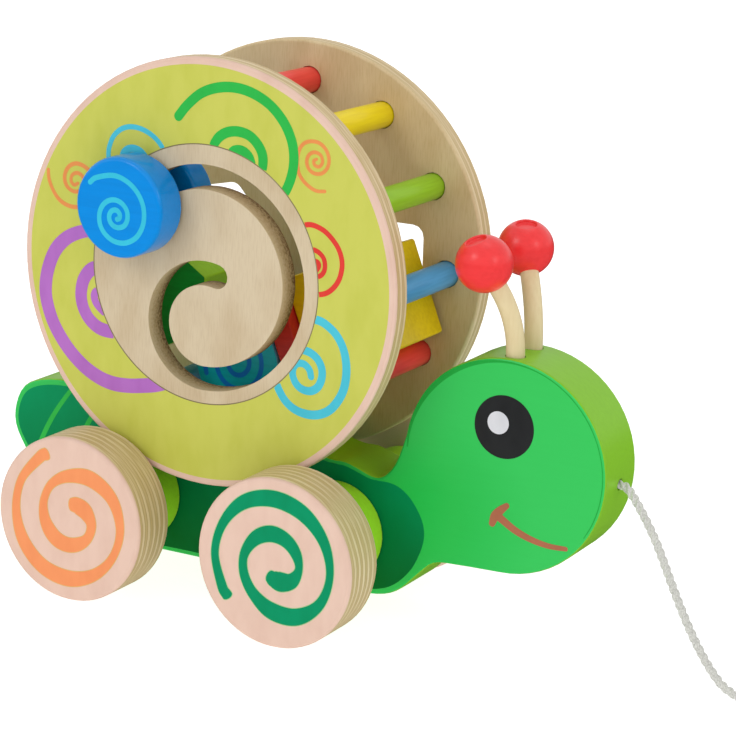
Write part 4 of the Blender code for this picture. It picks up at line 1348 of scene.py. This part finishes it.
@dataclass
class ShellDrum:
    """Two plywood discs with their prints, the dowels between them and the pins in the body."""

    bench: Bench
    axis: Vector
    ring_inner: float = 42.5
    ring_outer: float = 67.6
    ring_points: int = 192
    line_inside: float = 0.25
    line_outside: float = 0.1
    flat_radius: float = 69.0
    edge_rounding: float = 0.7
    wall_share: float = 0.3
    dowel_ease: float = 1 / 6
    dowel_segments: int = 48
    dowel_angles: tuple[float, ...] = (0, 0.4, 0.8, 1.2, 1.57)
    swirls: tuple[tuple[str, Finish, tuple[Stroke, ...]], ...] = (
        ("green_swirl", GREEN_INK, (
            Stroke(((-10.2, 50.4, 3.2), (-7, 54.2, 3.2), (-2, 58.4, 3.2), (4, 60.8, 3.3), (10.5, 61.5, 3.3),
                    (17, 60.4, 3.3), (23.5, 57.3, 3.3), (28.5, 52.5, 3.4), (31.5, 47, 3.4), (32.5, 41.5, 3.4),
                    (31.8, 36, 3.3), (29.5, 30.5, 3.2), (25.5, 26, 3.2))),
            Stroke(((2.6, 41, 3.2), (3.6, 43.4, 3.2), (5.4, 45.6, 3.3), (8.5, 47.3, 3.3), (12.5, 47.8, 3.3),
                    (16.5, 46.8, 3.3), (19.7, 44, 3.4), (21.3, 40.5, 3.4), (20.8, 36, 3.2), (18, 32, 3.2))),
            Stroke(((9.2, 40.6, 2.6), (11, 41.6, 3.4), (13.6, 41.6, 3.8), (16, 40.2, 3.6), (17.3, 37.8, 3.0))),
        )),
        ("cyan_swirl_top", CYAN_INK, (
            Stroke(((-36.4, 31, 1.7), (-36.9, 35, 1.7), (-36.5, 37.9, 1.7), (-34.9, 41.4, 1.7),
                    (-31.9, 44, 1.7), (-28.3, 45.1, 1.7), (-24.2, 44.8, 1.7), (-20.1, 43.2, 1.7),
                    (-16.9, 40.6, 1.7), (-15, 37.5, 1.7))),
            Stroke(((-31.6, 34.5, 2.2), (-30.8, 36.6, 2.3), (-29, 37.9, 2.4), (-26.8, 38.2, 2.4),
                    (-24.6, 37.6, 2.3), (-22.6, 36, 2.2))),
        )),
        ("orange_swirl_tail", ORANGE_INK, (
            Stroke(((-60.7, 27.5, 1.2), (-60.4, 24.5, 1.3), (-58.9, 21.1, 1.3), (-56.5, 18.2, 1.4),
                    (-53.3, 16.6, 1.4), (-49.6, 16.3, 1.4), (-45.5, 17.3, 1.4), (-42.9, 20.5, 1.4),
                    (-42.3, 24.5, 1.4), (-43.6, 28, 1.4), (-46, 30, 1.4), (-49.2, 30.8, 1.4),
                    (-51.9, 29.9, 1.4), (-53.6, 27.9, 1.4), (-54.2, 25.4, 1.4), (-53.4, 23.1, 1.4),
                    (-51.5, 21.7, 1.3), (-49.2, 21.5, 1.3), (-47, 22.8, 1.3), (-46.3, 25, 1.3),
                    (-47.3, 27, 1.3), (-49.3, 27.7, 1.3), (-51.2, 26.7, 1.2), (-51.6, 24.8, 1.2),
                    (-50.4, 23.6, 1.2), (-48.9, 24.3, 1.1))),
        )),
        ("orange_swirl_head", ORANGE_INK, (
            Stroke(((43.8, 32.5, 1.1), (41, 32.3, 1.1), (38.5, 33.2, 1.2), (36, 35, 1.2), (34.4, 37.2, 1.2),
                    (33.8, 40, 1.2), (33.9, 42.6, 1.2), (34.6, 45, 1.2), (36.2, 46.8, 1.2), (38.6, 47.6, 1.2),
                    (41.5, 47.3, 1.2), (43.9, 45.4, 1.2), (45, 42.5, 1.2), (44.4, 39.8, 1.2), (42.5, 38, 1.2),
                    (40, 37.7, 1.2), (38, 38.8, 1.2), (37.1, 41, 1.2), (37.8, 43.2, 1.2), (39.8, 44.3, 1.2),
                    (42, 43.6, 1.1), (42.7, 41.5, 1.1), (41.6, 40, 1.1), (40, 40.3, 1.1), (39.6, 41.6, 1.1),
                    (40.6, 42.2, 1.0))),
        )),
        ("red_swirl", RED_INK, (
            Stroke(((33, 19.8, 1.7), (37, 21.1, 1.7), (40, 21.4, 1.7), (44, 20.1, 1.7), (47.5, 17.3, 1.7),
                    (49.8, 14, 1.7), (50.7, 10, 1.7), (49.8, 5.5, 1.7), (47.5, 2.1, 1.7), (44.5, 0.1, 1.7),
                    (41, -0.4, 1.7), (38, 0.4, 1.7))),
            Stroke(((38, 13.4, 1.6), (40.2, 13.7, 1.6), (42.5, 12.9, 1.6), (44.2, 11.1, 1.6), (44.6, 8.5, 1.6),
                    (43.8, 6.4, 1.6), (42, 5.2, 1.6), (40, 5, 1.6))),
            Stroke(((40.6, 10.3, 1.4), (42, 9.9, 1.6), (42.5, 8.7, 1.5), (41.8, 7.3, 1.4))),
        )),
        ("cyan_swirl_low", CYAN_INK, (
            Stroke(((38, -8.3, 2.8), (41.7, -8.5, 2.8), (45, -9.3, 2.8), (49, -12, 2.8), (51.8, -16, 2.8),
                    (53.2, -21, 2.9), (53.2, -26.5, 2.9), (51.8, -31.5, 2.9), (48.5, -36.3, 2.9),
                    (44.5, -38.9, 2.9), (40, -39.7, 2.9), (35.5, -39, 2.8), (32, -37, 2.8), (29.5, -34, 2.8),
                    (27.8, -30.5, 2.8), (27.2, -26, 2.8))),
            Stroke(((34, -19.5, 2.7), (37.5, -19, 2.7), (40.5, -19.6, 2.7), (43, -21.3, 2.7), (44.5, -24, 2.7),
                    (44.6, -27, 2.7), (43.4, -30, 2.7), (41, -31.8, 2.7), (38, -31.9, 2.6), (35.5, -30.5, 2.6),
                    (34.1, -28, 2.5), (34.1, -25.5, 2.5), (35.6, -23.7, 2.4), (38, -23.5, 2.4), (40, -25, 2.4),
                    (40.7, -27.2, 2.3))),
        )),
        ("purple_swirl", PURPLE_INK, (
            Stroke(((-12, -36.8, 4.9), (-17.8, -39, 4.9), (-23.3, -40.2, 4.9), (-28.3, -41, 4.9),
                    (-34.2, -41.2, 5), (-40.1, -40, 5), (-46.5, -36.9, 5), (-52.8, -31.7, 5), (-58.3, -24.5, 5),
                    (-61.2, -17.3, 5), (-61.8, -11.8, 5), (-60.7, -5.5, 4.9), (-57.8, 0.9, 4.8),
                    (-53.3, 5.5, 4.6), (-47.8, 8.2, 4.4), (-42.5, 9.3, 4.2), (-38, 9, 4.2))),
            Stroke(((-38.5, -2, 4.4), (-42.2, -3.1, 4.5), (-44.7, -4.9, 4.5), (-46.7, -8.2, 4.6),
                    (-47.5, -12.7, 4.6), (-46.7, -16.8, 4.6), (-44.3, -20.5, 4.6), (-40.5, -23, 4.6),
                    (-36, -23.7, 4.5), (-32, -23, 4.4))),
            Stroke(((-39.6, -10.4, 2.6), (-41.6, -11.2, 2.8), (-42.2, -12.9, 2.8), (-41.2, -15.2, 2.7),
                    (-38.6, -17.4, 2.6))),
        )),
    )

    def build(self) -> None:
        """Makes the discs, the front print, the dowels and the pins."""
        for end, rim in (("front", PINK_FACE), ("back", BIRCH_FACE)):
            finishes = (BIRCH_FACE, rim, PLY_EDGE, SLOT_EDGE, INNER_FACE)
            self.bench.finished(f"{end}_shell_disc", finishes, self.disc_face, self.edge_rounding)
        self.print_front()
        for node in sorted(self.bench.frame["nodes"]):
            if node.startswith("cage_dowel"):
                self.dowel(node, DOWEL_FINISHES[node.rsplit("_", 1)[1]])
        for node in ("saddle_pin_front", "saddle_pin_rear"):
            self.dowel(node, STEM_CREAM)

    def disc_face(self, normal: Vector, middle: Vector) -> DiscFace:
        """Tells what kind of face one of a disc's faces is.

        Args:
            normal: Direction of the face.
            middle: Middle of the face in millimetres.

        Returns:
            The kind, which is also the number of its finish.
        """
        radius = math.hypot(middle.x - self.axis.x, middle.z - self.axis.z)
        at_rim = radius > self.ring_outer
        if abs(normal.y) < self.wall_share:
            return DiscFace.EDGE if at_rim else DiscFace.OPENING
        if normal.y * middle.y < 0:
            return DiscFace.INSIDE
        return DiscFace.RIM if at_rim else DiscFace.VENEER

    def print_front(self) -> None:
        """Prints the front disc: a yellow ring, its thin brown edge, a pink rim and the swirls."""
        plane = self.bench.face("front_shell_disc", Side.RIGHT)
        clear = self.ring_inner + self.line_outside
        rings = (
            ("yellow_ring_print", YELLOW_INK, self.ring_inner, self.ring_outer, GROUND_LIFT),
            ("ring_edge_line", EDGE_INK, self.ring_inner - self.line_inside, clear, FIGURE_LIFT),
            ("pink_rim_print", PINK_FACE, self.ring_outer, self.flat_radius, RIM_LIFT),
        )
        for name, ink, inner, outer, lift in rings:
            loops = [circle(radius, count=self.ring_points) for radius in (outer, inner)]
            self.bench.film(name, Body.SNAIL, plane, loops, ink, lift)
        for i, (name, ink, strokes) in enumerate(self.swirls):
            self.bench.strokes(name, Body.SNAIL, plane, strokes, ink, TOP_LIFT - SWIRL_STEP * i, clear)

    def dowel(self, node: str, finish: Finish) -> None:
        """Turns a dowel with eased ends.

        Args:
            node: CAD node that it stands for.
            finish: Its lacquer.
        """
        half = self.bench.half(node)
        ease = half.x * self.dowel_ease
        rim = [(half.x - ease * (1 - math.sin(a)), half.y - ease * (1 - math.cos(a))) for a in self.dowel_angles]
        profile = [(0.0, -half.y)] + [(r, -y) for r, y in rim] + rim[::-1] + [(0.0, half.y)]
        bm = lathe(profile, self.bench.centre(node), Vector((0, 1, 0)), self.dowel_segments)
        self.bench.stand_in(new_object(f"{node}_turned", bm, [finish.material()]), node)


@dataclass
class SpiralSlider:
    """The two blue knobs on their spindle, with a light blue spiral on the outer knob."""

    bench: Bench
    spiral_shift: tuple[float, float] = (-0.94, -3.15)
    width: float = 1.7
    spiral: tuple[tuple[float, float], ...] = (
        (133, 14.2), (120, 14.1), (90, 13.5), (60, 12.7), (30, 11.9), (0, 10.9), (-30, 9.9), (-60, 8.8), (-90, 7.8),
        (-120, 7.0), (-150, 6.5), (-180, 6.1), (-210, 5.9), (-240, 5.8), (-270, 5.7), (-300, 5.5), (-330, 5.2),
        (-360, 4.7), (-390, 4.2), (-420, 3.5), (-450, 3.0), (-480, 2.6), (-510, 2.4), (-540, 2.3), (-570, 2.3),
        (-600, 2.4), (-630, 2.5), (-660, 2.4), (-690, 2.1), (-720, 1.6), (-750, 0.9),
    )

    def build(self) -> None:
        """Makes the knobs and the spindle, and prints the outer knob."""
        for node in ("slider_knob_outer", "slider_knob_inner"):
            self.bench.finished(node, (KNOB_BLUE,))
        self.bench.finished("slider_spindle", (STEM_CREAM,))
        plane = self.bench.face("slider_knob_outer", Side.RIGHT)
        half = self.width / 2
        stroke = Stroke.spiral([(angle, r - half, r + half) for angle, r in self.spiral], self.spiral_shift)
        self.bench.strokes("knob_spiral", Body.KNOBS, plane, [stroke], KNOB_INK, FIGURE_LIFT)


@dataclass
class RunningGear:
    """Four plywood wheels with printed spirals, two axles and the lime bosses."""

    bench: Bench
    halo: float = 0.25
    halo_blunt: float = 0.28
    spiral_blunt: float = 0.25
    face_share: float = 0.3
    rear_spiral: tuple[Spot, ...] = (
        (112, 20.9, 24.9), (120, 20.8, 24.4), (150, 20.2, 23.0), (180, 19.3, 22.5), (210, 18.3, 23.2),
        (240, 17.9, 23.4), (270, 17.5, 23.0), (300, 18.1, 22.0), (330, 18.9, 21.6), (360, 19.2, 22.2),
        (390, 18.0, 22.5), (420, 15.3, 20.8), (450, 13.0, 17.1), (480, 11.6, 14.4), (510, 9.6, 12.4),
        (540, 7.6, 11.5), (570, 6.2, 11.4), (600, 5.9, 11.4), (630, 6.0, 11.1), (660, 6.5, 10.9), (690, 7.7, 10.9),
        (720, 7.5, 11.2), (750, 5.2, 11.0), (775, 3.9, 9.6), (795, 3.6, 8.0),
    )
    front_spiral: tuple[Spot, ...] = (
        (220, 19.4, 23.5), (210, 19.6, 23.3), (180, 20.0, 22.8), (150, 19.6, 22.7), (120, 19.2, 23.8),
        (90, 18.7, 24.2), (60, 18.7, 24.0), (30, 19.2, 23.0), (0, 19.4, 22.0), (-30, 18.3, 21.7), (-60, 15.5, 21.0),
        (-90, 12.7, 18.6), (-120, 11.1, 15.3), (-150, 10.0, 13.5), (-180, 9.3, 12.3), (-210, 8.0, 11.8),
        (-240, 7.3, 12.2), (-270, 7.2, 12.6), (-300, 7.4, 12.3), (-330, 7.7, 11.7), (-360, 8.2, 10.9),
        (-390, 5.8, 10.7), (-420, 2.9, 9.4), (-445, 2.1, 7.7), (-462, 2.1, 6.6),
    )

    def build(self) -> None:
        """Makes both wheel sets and prints the outside of each wheel."""
        sets = (
            ("front", Body.FRONT_WHEELS, self.front_spiral, WHEEL_GREEN_INK, WHEEL_GREEN_HALO),
            ("rear", Body.REAR_WHEELS, self.rear_spiral, WHEEL_ORANGE_INK, WHEEL_ORANGE_HALO),
        )
        for end, body, stations, ink, halo in sets:
            wide = [(angle, inner - self.halo, outer + self.halo) for angle, inner, outer in stations]
            under, over = Stroke.spiral(wide, blunt=self.halo_blunt), Stroke.spiral(stations, blunt=self.spiral_blunt)
            self.bench.finished(f"{end}_axle", (STEM_CREAM,))
            for side in Side:
                tag = f"{end}_{side.name.lower()}"
                self.bench.finished(f"axle_boss_{tag}", (BOSS_LIME,))
                node = f"wheel_{tag}"
                self.bench.finished(node, (PLY_EDGE, PINK_FACE), along_y(self.face_share))
                plane = self.bench.face(node, side)
                self.bench.strokes(f"{node}_spiral_halo", body, plane, [under], halo, RIM_LIFT)
                self.bench.strokes(f"{node}_spiral", body, plane, [over], ink, FIGURE_LIFT)


@dataclass
class Antennae:
    """Two bent cream stems in the head, each with a drilled red bead."""

    bench: Bench
    head_top: float = 94.7
    stem_radius: float = 3.0
    stem_points: int = 40
    stem_spread: float = 6.6
    stem_socket: float = 7.7
    stem_gap: float = 0.3
    straight_steps: int = 4
    bend_steps: int = 32
    elbow_rise: float = 11.5
    bead_radius: float = 9.1
    bead_back: float = 8.2
    bead_steps: int = 44
    bead_segments: int = 64
    bore_radius: float = 3.2
    bore_ease: float = 0.7
    bore_floor: float = 1.0
    floor_ease: float = 0.3
    lip_rise: float = 0.1
    lip_angles: tuple[float, ...] = (0.5, 1.0, 1.4)
    bore_aims: tuple[Spot, ...] = ((-0.25, -0.31, 0.92), (0.08, -0.22, 0.97))

    def build(self) -> None:
        """Makes the stem and the bead on each side."""
        for side, aim in zip(Side, self.bore_aims):
            tag = side.name.lower()
            bead = self.bench.centre(f"antenna_bead_{tag}")
            foot = Vector((bead.x + self.bead_back, side.value * self.stem_spread, self.head_top))
            elbow = foot + Vector((0, 0, self.elbow_rise))
            lean = (bead - elbow).normalized()
            self.stem(tag, foot, elbow, bead, lean)
            self.bead(tag, bead, Vector(aim).normalized())

    def stem(self, tag: str, foot: Vector, elbow: Vector, bead: Vector, lean: Vector) -> None:
        """Bends a stem from its socket to the middle of its bead.

        Args:
            tag: Side of the toy.
            foot: Where the stem leaves the head.
            elbow: Corner that its bend follows.
            bead: Middle of the bead.
            lean: Direction in which it enters the bead.
        """
        neck = bead - lean * (self.bead_radius + self.stem_gap)
        ends = [i / self.straight_steps for i in range(self.straight_steps + 1)]
        path = [foot - Vector((0, 0, self.stem_socket * (1 - share))) for share in ends[:-1]]
        for i in range(self.bend_steps + 1):
            t = i / self.bend_steps
            path.append(foot * (1 - t) ** 2 + elbow * 2 * t * (1 - t) + neck * t * t)
        path += [neck.lerp(bead, share) for share in ends[1:]]
        section = circle(self.stem_radius * MM, count=self.stem_points)
        bm = sweep([p * MM for p in path], lambda length, share: section)
        obj = new_object(f"antenna_stem_{tag}_bent", bm, [STEM_CREAM.material()])
        self.bench.stand_in(obj, f"antenna_stem_{tag}")

    def bead(self, tag: str, centre: Vector, aim: Vector) -> None:
        """Turns a bead whose bore is filled by the stem's end to just below its rim.

        Args:
            tag: Side of the toy.
            centre: Middle of the bead.
            aim: Direction of the bore's open end.
        """
        size, bore, ease = self.bead_radius, self.bore_radius, self.bore_ease
        start = math.asin((bore + ease) / size)
        angles = [math.pi - (math.pi - start) * i / self.bead_steps for i in range(1, self.bead_steps + 1)]
        ball = [(size * math.sin(a), size * math.cos(a)) for a in angles]
        rim = ball[-1][1]
        crest = rim + self.lip_rise
        lip = [(bore + ease * (1 - math.sin(a)), crest - ease * (1 - math.cos(a))) for a in self.lip_angles]
        floor = rim - self.bore_floor
        well = [(bore, floor + self.floor_ease), (bore - self.floor_ease, floor), (0.0, floor)]
        bm = lathe([(0.0, -size)] + ball + lip + well, centre, aim, self.bead_segments)
        obj = new_object(f"antenna_bead_{tag}_turned", bm, [BEAD_RED.material()])
        self.bench.stand_in(obj, f"antenna_bead_{tag}")


@dataclass
class SortingBlocks:
    """The four loose blocks in the drum, and the spiral on the round one."""

    bench: Bench
    rounding: float = 0.4
    face_share: float = 0.6
    spiral_turns: float = 2.4
    spiral_start: float = 60
    spiral_inner: float = 1.2
    spiral_radius: float = 12.5
    spiral_width: float = 1.7
    spiral_steps: int = 40

    def build(self) -> None:
        """Makes the blocks and prints the round one's front."""
        finishes = {
            "block_round": (BLOCK_SIDE_BLUE, TEAL),
            "block_hexagon": (BOSS_LIME, LEAF_GREEN),
            "block_brick": (BLOCK_RED, BLOCK_RED),
            "block_cube": (BLOCK_YELLOW, BLOCK_YELLOW),
        }
        for node, pair in finishes.items():
            self.bench.finished(node, pair, along_y(self.face_share), self.rounding)
        half = self.spiral_width / 2
        stations = []
        for i in range(self.spiral_steps + 1):
            share = i / self.spiral_steps
            radius = self.spiral_inner + (self.spiral_radius - self.spiral_inner) * share
            stations.append((360 * self.spiral_turns * share + self.spiral_start, radius - half, radius + half))
        plane = self.bench.face("block_round", Side.RIGHT)
        stroke = Stroke.spiral(stations)
        self.bench.strokes("round_block_spiral", Body.ROUND_BLOCK, plane, [stroke], BLOCK_INK, FIGURE_LIFT)


def main() -> None:
    """Loads the frame, builds the sub-assemblies in order and logs how many pieces were made."""
    logging.basicConfig(level=logging.INFO, format="%(message)s")
    for obj in list(bpy.data.objects):
        bpy.data.objects.remove(obj, do_unlink=True)
    bench = Bench(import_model())
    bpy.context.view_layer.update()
    axis = bench.centre("front_shell_disc")
    Studio().build()
    PullCord(bench, axis.x).build()
    SnailBody(bench, axis.x).build()
    ShellDrum(bench, axis).build()
    SpiralSlider(bench).build()
    RunningGear(bench).build()
    Antennae(bench).build()
    SortingBlocks(bench).build()
    LOG.info("%d pieces in all", bench.made)


if __name__ == "__main__":
    main()
